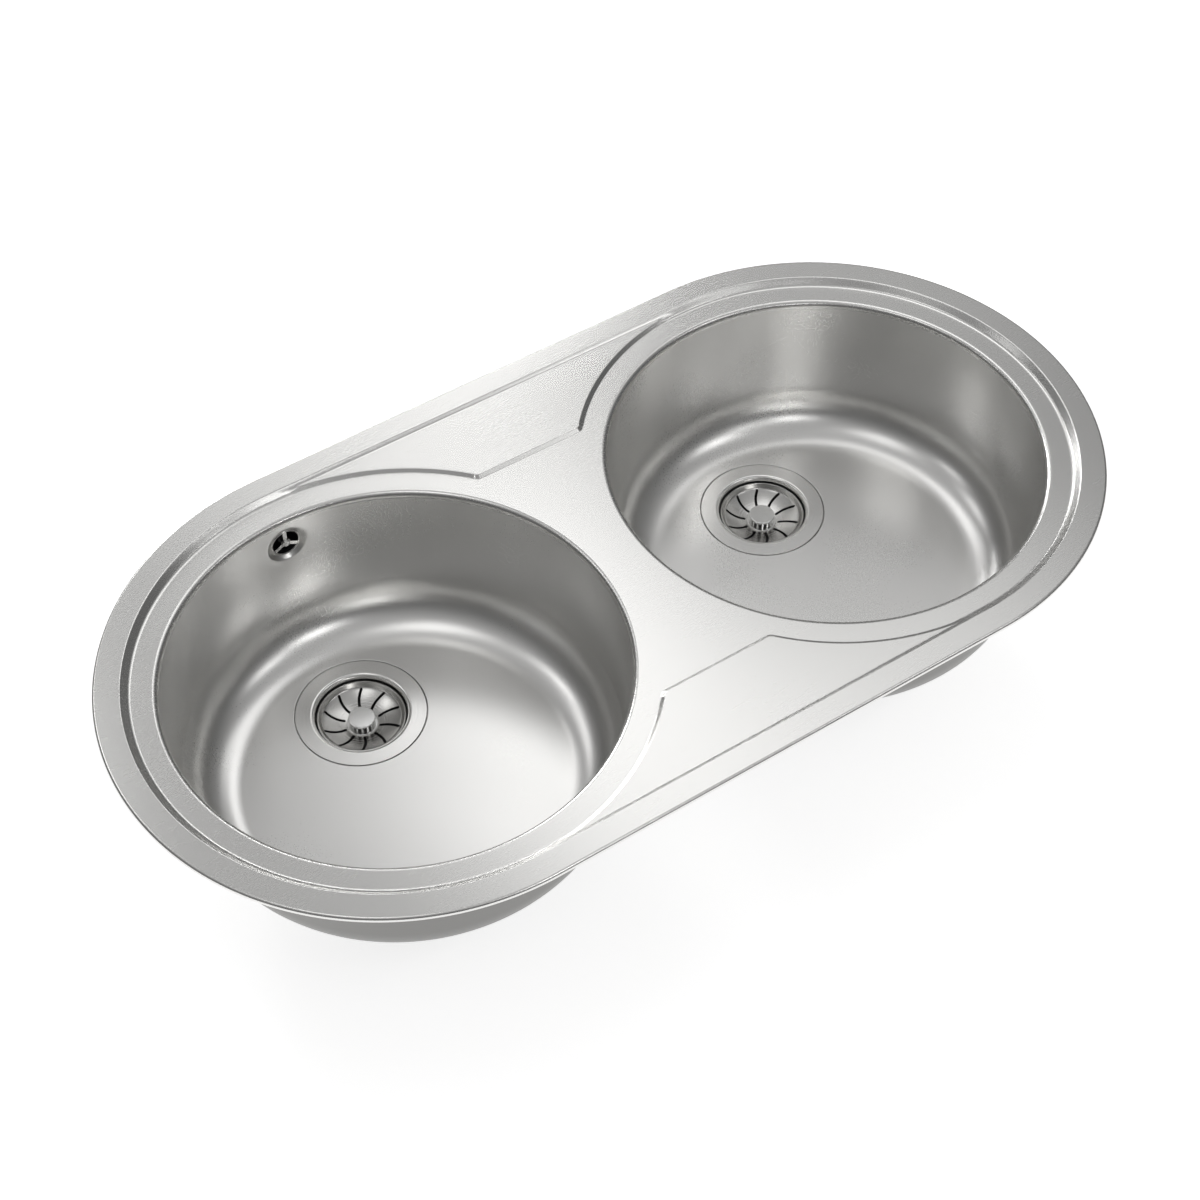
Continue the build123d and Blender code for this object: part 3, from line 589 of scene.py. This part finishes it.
def deck_form(plane):
    """Presses the deck's blank. The outline sets rim and ledge, a panel's foot sets its rise, and
    the middle of a bowl sets the collar. Slope and panel join as the eighth root of the sum of
    their eighth powers."""
    x, y = plane[:, 0], plane[:, 1]
    spine = np.clip(x, -half_pitch, half_pitch)
    reach = np.hypot(x - spine, y)
    d, z = rim_profile(rim_radius - reach)
    scale = np.where(reach > outline_from, (rim_radius - d) / np.maximum(reach, 1), 1)
    out_x, out_y = spine + (x - spine) * scale, y * scale
    rise = np.where(rim_radius - reach > panels_from, panel_profile(panel_distance(x, y)), 0)
    z = np.where(rise > 0, ledge + (np.maximum(z - ledge, 0) ** 8 + rise**8) ** 0.125, z)
    middle = np.where(x < 0, -half_pitch, half_pitch)
    bowl = np.hypot(x - middle, y)
    turn = np.clip((collar_from - bowl) / collar_round, 0, quarter)
    near = bowl < collar_from
    radius = np.where(near, collar_from - collar_round * np.sin(turn), bowl)
    collar = (ledge - collar_round + collar_round * np.cos(turn)
              - np.maximum(collar_straight - bowl, 0))
    squeeze = np.where(near, radius / np.maximum(bowl, 1), 1)
    return np.column_stack((np.where(near, middle + (x - middle) * squeeze, out_x),
                            np.where(near, y * squeeze, out_y), np.where(near, collar, z)))


print("collars from", collar_from, "mm")


# %% Lines of the deck's blank
def racetrack(s):
    """Outline of the blank at a length s inside the rim's edge: two half circles and two
    straight sides."""
    radius = rim_radius - s
    angle = np.radians(np.arange(-90, 90.5, 1.0))
    run = np.linspace(half_pitch, -half_pitch, 44)[1:-1]
    right = np.column_stack((half_pitch + radius * np.cos(angle), radius * np.sin(angle)))
    back = np.column_stack((run, np.full(len(run), radius)))
    return np.vstack((right, back, -right, -back))


def panel_line(e):
    """Open line of the blank at a distance e inside the foot of the back panel. It follows the
    ring round the left bowl, the corner, and both again mirrored. It stops where the panel runs
    into the rim's slope, at 210 mm from the middle line and 1.8 mm more for each of its height."""
    ring_radius = panel_ring + e
    stop = np.arcsin((210 + 1.8 * panel_profile(np.array(e))) / ring_radius)
    ring = np.linspace(min(stop, 1.5), np.radians(corner_turn), 60)
    left = np.column_stack((-half_pitch + ring_radius * np.cos(ring),
                            ring_radius * np.sin(ring)))
    bend = np.radians(np.linspace(180 + corner_turn, 270, 10))[1:]
    corner = np.column_stack((-corner_x + (corner_round - e) * np.cos(bend),
                              corner_y + (corner_round - e) * np.sin(bend)))
    side = np.vstack((left, corner))
    return np.vstack((side, side[::-1] * (-1, 1)))


rim_lengths = np.concatenate((
    [edge_round - edge_round * quarter - edge_drop],
    edge_round - edge_round * np.linspace(quarter, 0, 10), [3.0, 12.0, 21.3],
    shoulder_from + shoulder_round * np.sin(np.radians(np.linspace(0, 45, 6))), [23.4, 25.0, 26.7],
    foot_to - foot_round * np.sin(np.radians(np.linspace(45, 0, 8))), [31.0]))
collar_lengths = np.concatenate((
    [collar_end], collar_from - collar_round * np.linspace(quarter, 0, 12), [195.0]))
panel_steps = np.concatenate((
    [-0.9], np.linspace(panel_foot, side_from, 6), [0.8, 1.7, 2.6],
    np.linspace(side_to, panel_top, 6), [4.3]))
loops = [racetrack(s) for s in rim_lengths]
loops += [circle(r, (side * half_pitch, 0), 1.0) for side in (-1, 1) for r in collar_lengths]
panel_lines = [panel_line(e) for e in panel_steps]
panel_lines += [line * (1, -1) for line in panel_lines]
print(len(loops), "closed lines", len(panel_lines), "panel lines")


# %% The deck
def in_blank(middle):
    """Inside the outermost outline and outside the innermost ring of both collars."""
    x, y = middle[:, 0], middle[:, 1]
    spine = np.clip(x, -half_pitch, half_pitch)
    bowl = np.hypot(np.abs(x) - half_pitch, y)
    return (np.hypot(x - spine, y) < rim_radius - rim_lengths[0]) & (bowl > collar_lengths[0])


plane, faces = triangles(loops, panel_lines, in_blank)
press("deck_pressing", plane, faces, deck_form, "sink", ["deck"], satin_steel, rough_shaded_steel)

# %% [markdown]
# ## The bowls
# A drawn bowl leans out a little towards its top and turns into its floor in one generous cove.
# It could be turned like a pot, but the left bowl has a conical dish for the overflow, pressed out
# of the wall. So a bowl is pressed as well, from a plain disc in which the length along the sheet
# from the middle of the floor takes the place of the radius. Both have a round hole in the floor
# for the waste's recess.

# %% Profile of a bowl
draft, cove_turn = np.radians(2.6), np.radians(87.4)
floor_z, weld_z, cove, floor_edge = -148.5, -9, 46.0, 139.45
cove_end = floor_edge + cove * cove_turn
wall_foot_z = floor_z + cove * (1 - np.cos(cove_turn))
bowl_top = cove_end + (weld_z - wall_foot_z) / np.cos(draft)


def bowl_profile(length):
    """Radius and height at a length along the sheet from the middle of the floor: a flat floor,
    a round cove and a straight wall that leans out by the draft."""
    turn = np.clip((length - floor_edge) / cove, 0, cove_turn)
    up = np.maximum(length - cove_end, 0)
    radius = np.minimum(length, floor_edge) + cove * np.sin(turn) + up * np.sin(draft)
    return radius, floor_z + cove * (1 - np.cos(turn)) + up * np.cos(draft)


print("bowl's blank", round(2 * bowl_top, 1), "mm across")

# %% The overflow's dish and the formula of a bowl
overflow_z, overflow_hole = -31.0, 13
dish_radius, dish_depth, dish_run, dish_blend = 17.5, 3.2, 2.9, 0.3
dish_wall, dish_floor = 188.751, 191.951


def bowl_form(side):
    """Formula that presses the blank of the left (-1) or right (+1) bowl. Round the overflow the
    wall gives way to a cone with a flat floor, each joined by a soft maximum: half of the sum and
    of the root of the squared difference plus a blend."""
    def form(plane):
        length = np.maximum(np.hypot(plane[:, 0], plane[:, 1]), 1e-6)
        radius, z = bowl_profile(length)
        x, y = plane[:, 0] * radius / length, plane[:, 1] * radius / length
        if side < 0:
            around = np.hypot(x, z - overflow_z)
            cone = dish_wall + (dish_radius - around) * dish_depth / dish_run
            gap = dish_floor - cone
            cone = dish_floor - 0.5 * (gap + np.sqrt(gap**2 + dish_blend))
            gap = y - cone
            dished = 0.5 * (y + cone + np.sqrt(gap**2 + dish_blend))
            y = np.where((around < 24) & (y > 150), dished, y)
        return np.column_stack((side * half_pitch + x, y, z))
    return form


def on_wall(radius, step=6.0):
    """Circle round the overflow, carried back from the wall into the blank: its height gives the
    length from the middle, and its distance aside gives the angle."""
    ring = circle(radius, (0.0, overflow_z), step)
    length = cove_end + (ring[:, 1] - wall_foot_z) / np.cos(draft)
    turn = np.arccos(ring[:, 0] / bowl_profile(length)[0])
    return np.column_stack((length * np.cos(turn), length * np.sin(turn)))


print("overflow's dish", 2 * dish_radius, "mm across")

# %% The bowls
waste_hole, hole_line = 58.45, 58.9
bowl_lengths = np.concatenate((
    [138.9], floor_edge + cove * np.linspace(0, cove_turn, 24), [cove_end + 0.6],
    np.linspace(cove_end, bowl_top, 7)[1:]))
dish_rings = (overflow_hole, 13.6, 14.1, 14.4, 14.7, 15.0, 15.5, 16.3, 17, 17.4, 17.8, 18.3, 19,
              20, 22)
for side, name in zip((-1, 1), sides):
    lines = [circle(length) for length in bowl_lengths]
    lines += [circle(radius, (0, waste_y), 2.0) for radius in (waste_hole, hole_line)]
    if side < 0:
        lines += [on_wall(radius) for radius in dish_rings]

    def in_bowl(middle):
        """Inside the top line, outside the waste's hole and, on the left, the overflow's."""
        length = np.hypot(middle[:, 0], middle[:, 1])
        radius, z = bowl_profile(length)
        x = middle[:, 0] * radius / length
        hole = (side < 0) & (middle[:, 1] > 0) & (np.hypot(x, z - overflow_z) < overflow_hole)
        off_waste = np.hypot(middle[:, 0], middle[:, 1] - waste_y) > waste_hole
        return (length < bowl_top) & off_waste & ~hole

    plane, faces = triangles(lines, [], in_bowl)
    press(f"{name}_bowl_drawing", plane, faces, bowl_form(side), "sink", [f"{name}_bowl"],
          bowl_steel, rough_shaded_steel)

# %% [markdown]
# ## Turned pieces
# Rings, caps and discs are turned about an upright line. A Spin or Screw modifier could carry a
# line round, but it would share the normals of a sharp corner. Here each piece is drawn as an
# outline of radius and height, whose corners may be rounded, and that outline is carried round.
# Every straight and every round of it becomes its own strip with its own normals, so sharp corners
# stay sharp.


# %% Outline with rounded corners
def turned_by(line, turn):
    """Line of points turned about the origin by an angle in radians."""
    return line @ np.array([[np.cos(turn), np.sin(turn)], [-np.sin(turn), np.cos(turn)]])


def strips(*corners, open_ended=False):
    """Straights and rounds of an outline through (r, z) or (r, z, rounding), as points and their
    directions. A round starts and ends where its radius times the tangent of half the bend lies
    before and behind the corner."""
    points = np.array([corner[:2] for corner in corners], float)
    count = len(points)
    rounds = np.array([corner[2] if len(corner) > 2 else 0.0 for corner in corners])
    ahead = unit(np.roll(points, -1, axis=0) - points)
    behind = np.roll(ahead, 1, axis=0)
    bend = np.arctan2(behind[:, 0] * ahead[:, 1] - behind[:, 1] * ahead[:, 0],
                      (behind * ahead).sum(axis=1))
    cut = rounds * np.tan(np.abs(bend) / 2)
    enter, leave = points - behind * cut[:, None], points + ahead * cut[:, None]
    result = []
    for i in range(count):
        if rounds[i]:
            turn = np.linspace(0, bend[i], max(4, int(abs(bend[i]) / 0.16) + 1))
            cos, sin = np.cos(turn), np.sin(turn)
            (x, z), square = behind[i], np.array([-behind[i, 1], behind[i, 0]])
            middle = enter[i] + np.sign(bend[i]) * rounds[i] * square
            way = np.column_stack((x * cos - z * sin, x * sin + z * cos))
            x, z = enter[i] - middle
            arc = np.column_stack((x * cos - z * sin, x * sin + z * cos))
            result.append((middle + arc, way))
        after = (i + 1) % count
        if not (open_ended and i == count - 1):
            result.append((np.array([leave[i], enter[after]]), np.array([ahead[i], ahead[i]])))
    return result


print("outlines ready")


# %% Outline carried round an upright line
def lathe(outline, centre, turns=180):
    """Points, normals and faces of an outline carried round an upright line at a centre
    (x, y, z): x and y are the radius times cosine and sine of the angle. The outline runs
    anticlockwise in radius and height, so that its outside lies to its right."""
    angle = np.radians(np.linspace(0, 360, turns, endpoint=False))
    cos, sin = np.cos(angle), np.sin(angle)
    points, normals, faces, start = [], [], [], 0
    for line, way in outline:
        rows = len(line)
        r, z, nr, nz = line[:, :1], line[:, 1:], way[:, 1:], -way[:, :1]
        grid = np.stack((centre[0] + r * cos, centre[1] + r * sin, centre[2] + z + 0 * cos),
                        axis=-1)
        points.append(grid.reshape(-1, 3))
        normals.append(np.stack((nr * cos, nr * sin, nz + 0 * cos), axis=-1).reshape(-1, 3))
        index = start + np.arange(rows * turns).reshape(rows, turns)
        a, b = index[:-1], index[1:]
        quads = np.stack((a, np.roll(a, -1, axis=1), np.roll(b, -1, axis=1), b), axis=-1)
        faces.append(quads.reshape(-1, 4))
        start += rows * turns
    return np.vstack(points), np.vstack(normals), np.vstack(faces)


def merged(*parts):
    """Several (points, normals, faces) as one. Faces may have three or four corners."""
    points, normals, faces, start = [], [], [], 0
    for part_points, part_normals, part_faces in parts:
        points.append(part_points)
        normals.append(part_normals)
        plain = np.asarray(part_faces, dtype=object).tolist()
        faces += [[corner + start for corner in face] for face in plain]
        start += len(part_points)
    return np.vstack(points), np.vstack(normals), faces


print("lathe ready")

# %% [markdown]
# ## Recesses
# Each bowl's floor has a round recess, so that the waste's flange lies flush in it. It could be
# pressed with the bowl. Turned on its own, it keeps its crisp edge and rings of even faces.

# %% Recess of each bowl for its waste
recess_outline = strips(
    (waste_hole, 0.0), (57.7, 0.0, 0.7), (57.7, -2.0, 0.5), (45.0, -2.0), (45.0, -2.8),
    (58.5, -2.8, 1.2), (58.5, -0.8))
wastes = [(name, np.array([side * half_pitch, waste_y, floor_z]))
          for side, name in zip((-1, 1), sides)]
for name, middle in wastes:
    make_object(f"{name}_waste_recess", *lathe(recess_outline, middle), "sink", [], bowl_steel)

# %% [markdown]
# ## Waste flanges
# The flange is a ring that lies flush in the recess and rolls over into the cup. The cup narrows
# in a cone, on which the strainer's rubber seal closes, and its floor is slotted between six
# spokes. Slots could be cut through a turned floor. Here the ring and the cone are turned, and the
# slotted floor is a flat pressing, whose slots are lines of its blank.

# %% Outline of the flange and blank of the cup's floor
cup_low, cup_under, cup_edge = -30.0, -30.9, 27.2
hub, slots_from, slots_to, half_spoke, spoke_turn = 3.1, 12.0, 27.0, 2.0, 60
flange_outline = strips(
    (57.0, 0.0, 0.33), (40.3, 0.0, 3.95), (40.3, -10.0, 2.0), (35.0, -25.0, 1.0),
    (32.0, cup_low, 2.5), (cup_edge, cup_low), (cup_edge, cup_under), (32.5, cup_under, 3.4),
    (35.95, -25.2, 1.9), (41.2, -10.2, 2.9), (41.2, -1.0), (57.0, -1.0))


def cup_keep(middle):
    """On the floor's ring, its hub or one of its spokes, which are two millimetres to each side
    of the nearest spoke's line."""
    radius, angle = np.hypot(*middle.T), np.degrees(np.arctan2(middle[:, 1], middle[:, 0]))
    turn = np.radians(spoke_turn) * np.round(angle / spoke_turn)
    off = np.abs(middle[:, 1] * np.cos(turn) - middle[:, 0] * np.sin(turn))
    solid = (radius < slots_from) | (radius > slots_to) | (off < half_spoke)
    return (radius > hub) & (radius < cup_edge) & solid


spokes = [turned_by(np.array([[11.0, off], [27.1, off]]), turn)
          for turn in np.radians(np.arange(0, 360, spoke_turn))
          for off in (-half_spoke, half_spoke)]
cup_plane, cup_faces = triangles(
    [circle(r, step=3.0) for r in (hub, slots_from, slots_to, cup_edge)], spokes, cup_keep)
print("cup's floor", len(cup_faces), "triangles")


# %% Flanges and their cups
def plate(plane, faces, centre, high, low):
    """Flat plate between two heights, with its cut edges."""
    top = np.column_stack((plane + centre[:2], np.full(len(plane), centre[2] + high)))
    up = np.tile((0.0, 0.0, 1.0), (len(top), 1))
    return sheet(top, top + (0, 0, low - high), up, faces)


for name, middle in wastes:
    cup = merged(lathe(flange_outline, middle),
                 plate(cup_plane, cup_faces, middle, cup_low, cup_under))
    make_object(f"{name}_flange_and_cup", *cup, "sink", [f"{name}_waste_flange"], flange_steel)

# %% [markdown]
# ## Strainers
# The strainer is a shallow dish like the cap of a ball, with a folded rim and ten slots that sweep
# back as they run outwards. Slots could be cut with a boolean, which leaves rough shading round
# each. Here their outlines are lines of the blank, as with the deck, so every slot has clean edges
# and real walls. Rings close to each other keep the triangles short, because long thin ones show
# as a star on the polished dish.

# %% Dish of a strainer
dish_ball, dish_low = 82.5, -17.3
wall_from, wall_low, wall_rise, wall_run = 34.8, -9.6, 4.6, 2.8
lip_from, lip_high, lip_fall = 37.6, -4.9, 0.62


def soft_max(a, b, blend):
    """Larger of two heights with a rounded change between them: half of their sum and of the
    root of their squared difference plus the squared blend."""
    return 0.5 * (a + b + np.sqrt((a - b) ** 2 + blend**2))


def strainer_form(plane):
    """Presses the blank upright: the cap of a ball, the steep wall outside it and the lip that
    falls off again, with soft changes between them."""
    radius = np.hypot(plane[:, 0], plane[:, 1])
    dish = dish_low + dish_ball - np.sqrt(dish_ball**2 - radius**2)
    wall = wall_low + (radius - wall_from) * wall_rise / wall_run
    lip = lip_high - (radius - lip_from) * lip_fall
    return np.column_stack((plane, -soft_max(-soft_max(dish, wall, 0.8), -lip, 0.35)))


print("dish of a ball of", dish_ball, "mm")

# %% One slot of a strainer
slot_from, slot_to, half_slot = 16.2, 33.2, 1.25
slot_count, first_slot, slot_pitch = 10, 25.3, 36

slot_reach = np.array([slot_from, (slot_from + slot_to) / 2, slot_to])
slot_turn = np.radians([5.7, 5.4, 0.0])
slot_points = np.column_stack((slot_reach * np.cos(slot_turn), slot_reach * np.sin(slot_turn)))
share = np.linspace(0, 1, 41)[:, None]
# The slot's middle line is the quadratic curve through its three points.
centre_line = ((1 - share) * (1 - 2 * share) * slot_points[0]
               + 4 * share * (1 - share) * slot_points[1]
               + share * (2 * share - 1) * slot_points[2])
along = unit(np.gradient(centre_line, axis=0))
offside = np.column_stack((-along[:, 1], along[:, 0])) * half_slot
cap = np.radians(np.linspace(90, -90, 13))[1:-1, None]
slot_loop = np.vstack((
    (centre_line + offside)[::2],
    centre_line[-1] + along[-1] * half_slot * np.cos(cap) + offside[-1] * np.sin(cap),
    (centre_line - offside)[::-2],
    centre_line[0] - along[0] * half_slot * np.cos(cap) - offside[0] * np.sin(cap)))
print("slot", len(slot_loop), "points")

# %% The strainers
strainer_radii = (2.9, 12.5, 14.0, 15.6, 17.5, 19.5, 21.5, 23.5, 25.5, 27.5, 29.5, 31.5, 33.0,
                  34.0, 34.6, 35.3, 35.8, 36.2, 36.6, 37.0, 37.3, 37.6, 37.9, 38.3, 38.8)


def strainer_keep(middle):
    """Between the smallest and the largest ring, and further from the middle line of the nearest
    slot than half a slot's width."""
    radius, angle = np.hypot(*middle.T), np.degrees(np.arctan2(middle[:, 1], middle[:, 0]))
    angle = np.radians((angle - first_slot + slot_pitch / 2) % slot_pitch - slot_pitch / 2)
    home = np.column_stack((radius * np.cos(angle), radius * np.sin(angle)))
    nearest = np.min(np.linalg.norm(home[:, None] - centre_line[None], axis=2), axis=1)
    return (radius > strainer_radii[0]) & (radius < strainer_radii[-1]) & (nearest > half_slot)


strainer_rings = [circle(r, step=2.0) for r in strainer_radii]
strainer_rings += [turned_by(slot_loop, np.radians(first_slot + slot_pitch * k))
                   for k in range(slot_count)]
strainer_plane, strainer_faces = triangles(strainer_rings, [], strainer_keep)
for name, middle in wastes:
    press(f"{name}_strainer_dish", strainer_plane, strainer_faces,
          lambda plane: strainer_form(plane) + middle, f"{name}_strainer", [f"{name}_strainer"],
          strainer_steel, strainer_steel)

# %% [markdown]
# ## Knobs
# The knob that lifts the strainer has a flat cap, a waist with twelve ribs for the fingers and a
# foot on the dish. Cap and foot are turned. The waist could be a disc with ribs joined on, which
# shows seams. Here its plan is one closed line, from the core's radius and a blunt hump for each
# rib, and it is raised upright.


# %% Upright wall over a closed line
def upright(line, out, centre, low, high):
    """Wall between two heights over a closed line in plan, with its outward directions."""
    count = len(line)
    ends = [np.column_stack((line + centre[:2], np.full(count, centre[2] + z)))
            for z in (low, high)]
    index = np.arange(count)
    after = np.roll(index, -1)
    faces = np.column_stack((index, after, after + count, index + count))
    return np.vstack(ends), np.vstack([np.column_stack((out, np.zeros(count)))] * 2), faces


def ribbed_plan(core, tip, width, ribs):
    """Closed line round a core with blunt ribs, and its outward directions: a rib rises as the
    sixth root of one minus its sixth power."""
    across = np.sin(np.radians(np.linspace(-90, 90, 21))) * width / 2
    rise = np.maximum(1 - (2 * np.abs(across) / width) ** 6, 0) ** (1 / 6)
    turn = np.arcsin(across / core)
    gap = np.linspace(turn[-1], 2 * np.pi / ribs - turn[-1], 8)[1:-1]
    radius = np.concatenate((core + (tip - core) * rise, np.full(len(gap), core)))
    angle = np.concatenate((turn, gap))
    angle = (angle + 2 * np.pi / ribs * np.arange(ribs)[:, None]).ravel()
    radius = np.tile(radius, ribs)
    line = np.column_stack((radius * np.cos(angle), radius * np.sin(angle)))
    way = unit(np.roll(line, -1, axis=0) - np.roll(line, 1, axis=0))
    return line, np.column_stack((way[:, 1], -way[:, 0]))


print("walls ready")

# %% The knobs
cap_under, foot_top, waist_radius, rib_tip = -9.0, -14.97, 7.6, 9.6
cap_outline = strips((0.0, cap_under), (11.8, cap_under, 0.4), (11.8, -7.0, 0.9), (0.0, -7.0),
                     open_ended=True)
foot_outline = strips((2.9, -17.25), (13.6, -16.17), (13.6, foot_top, 0.5),
                      (waist_radius, foot_top), open_ended=True)
waist, waist_out = ribbed_plan(waist_radius, rib_tip, 1.6, 12)
# Faces of the waist close to the core, between the ribs, get the near-black steel: painted shade in
# the gaps.
shaded_core = np.hypot(*waist.T) < 8.0
for name, middle in wastes:
    knob = merged(lathe(cap_outline, middle, 96), lathe(foot_outline, middle, 96),
                  upright(waist, waist_out, middle, foot_top, cap_under))
    slots = np.concatenate((np.zeros(len(knob[2]) - len(waist)), shaded_core & np.roll(shaded_core, -1)))
    make_object(f"{name}_lifting_knob", *knob, f"{name}_strainer", [f"{name}_strainer_knob"],
                knob_steel, notch_shade_steel, slots=slots)

# %% [markdown]
# ## Floor
# The photograph's ground is plain white. A brighter lamp would make any floor white and bleach the
# sink with it. So the floor is pale, keeps the sink's shadow, and glows only for the rays that the
# camera and the mirror-like steel send out.

# %% Floor
floor_reach, floor_glow = 12.0, 0.75
floor_mesh = bpy.data.meshes.new("floor")
corners = [(x * floor_reach, y * floor_reach, cad_low.z)
           for x, y in ((-1, -1), (1, -1), (1, 1), (-1, 1))]
floor_mesh.from_pydata(corners, [], [(0, 1, 2, 3)])
floor = bpy.data.objects.new("floor", floor_mesh)
scene.collection.objects.link(floor)
floor_paint, tree, shader = finish("floor_paint", (0.86, 0.86, 0.86), 0.9)
light_path = add(tree, "ShaderNodeLightPath")
seen = math(tree, "MAXIMUM", light_path.outputs["Is Camera Ray"],
            light_path.outputs["Is Glossy Ray"])
seen = math(tree, "MAXIMUM", seen, light_path.outputs["Is Transmission Ray"])
shader.inputs["Emission Color"].default_value = (1, 1, 1, 1)
tree.links.new(math(tree, "MULTIPLY", seen, floor_glow), shader.inputs["Emission Strength"])
floor_mesh.materials.append(floor_paint)
print("floor at", round(cad_low.z / MM, 1), "mm")

# %% [markdown]
# ## Sky and soft boxes
# Polished steel has hardly a colour of its own: it shows the room. A photographer lets the room
# fall off to a plain grey and sets soft boxes round the table, so that flat places shine and round
# ones carry long soft lights. A picture of a room could be wrapped round the scene. Here the sky is
# a ramp of greys by height alone, and each soft box is a lamp with its own place, size and level.

# %% Sky
world = bpy.data.worlds.new("studio")
scene.world = world
world.use_nodes = True
tree = world.node_tree
place = add(tree, "ShaderNodeTexCoord").outputs["Generated"]
parts = add(tree, "ShaderNodeSeparateXYZ", {"Vector": place})
room = ramp(tree, parts.outputs["Z"],
            (0.0, 0.14), (0.45, 0.10), (0.62, 0.18), (0.74, 0.29), (1.0, 0.46))
sky = tree.nodes["Background"]
tree.links.new(room, sky.inputs["Color"])
sky.inputs["Strength"].default_value = 1.0
print("sky", world.name)


# %% Soft boxes
def soft_box(name, place, level, width=0.5, depth=0.5, tilted=False):
    """Lamp that faces straight down, or the sink when tilted. Its energy is pi times its area
    times its level, which is the brightness that it shows."""
    data = bpy.data.lights.new(name, "AREA")
    data.shape, data.size, data.size_y = "RECTANGLE", width, depth
    data.energy = np.pi * width * depth * level
    lamp = bpy.data.objects.new(name, data)
    scene.collection.objects.link(lamp)
    lamp.location = place
    if tilted:
        lamp.rotation_euler = Vector(place).to_track_quat("Z", "Y").to_euler()


soft_box("box_main", (0.50, 1.00, 1.40), 1.35)
soft_box("box_above_back", (0.50, 0.50, 1.40), 1.05)
soft_box("box_above_right", (1.00, 0.50, 1.40), 0.7)
soft_box("box_front", (0.50, -1.50, 1.40), 1.2)
soft_box("box_front_right", (1.00, -1.00, 1.40), 2.2)
soft_box("box_back_right", (1.00, 2.00, 1.40), 6.0)
soft_box("box_back_left", (-0.50, 1.50, 1.40), 1.7)
soft_box("box_above_left", (-0.50, 0.00, 1.40), 1.2)
soft_box("box_near_back", (-0.52, 0.56, 0.70), 2.2, 0.20, 0.26)
soft_box("box_near_front", (0.00, -0.72, 0.70), 4.0, 0.22, 0.22)
soft_box("box_right_back", (1.50, 1.30, 1.40), 0.3, 0.7, 0.6)
soft_box("box_behind_main", (0.40, 1.50, 1.40), 0.6, 0.5, 0.4)
soft_box("box_low_back", (0.20, 2.60, 1.00), 7.0, 0.8, 0.8, tilted=True)
scene.view_settings.view_transform = "Standard"
print("lamps", [light.name for light in bpy.data.lights])
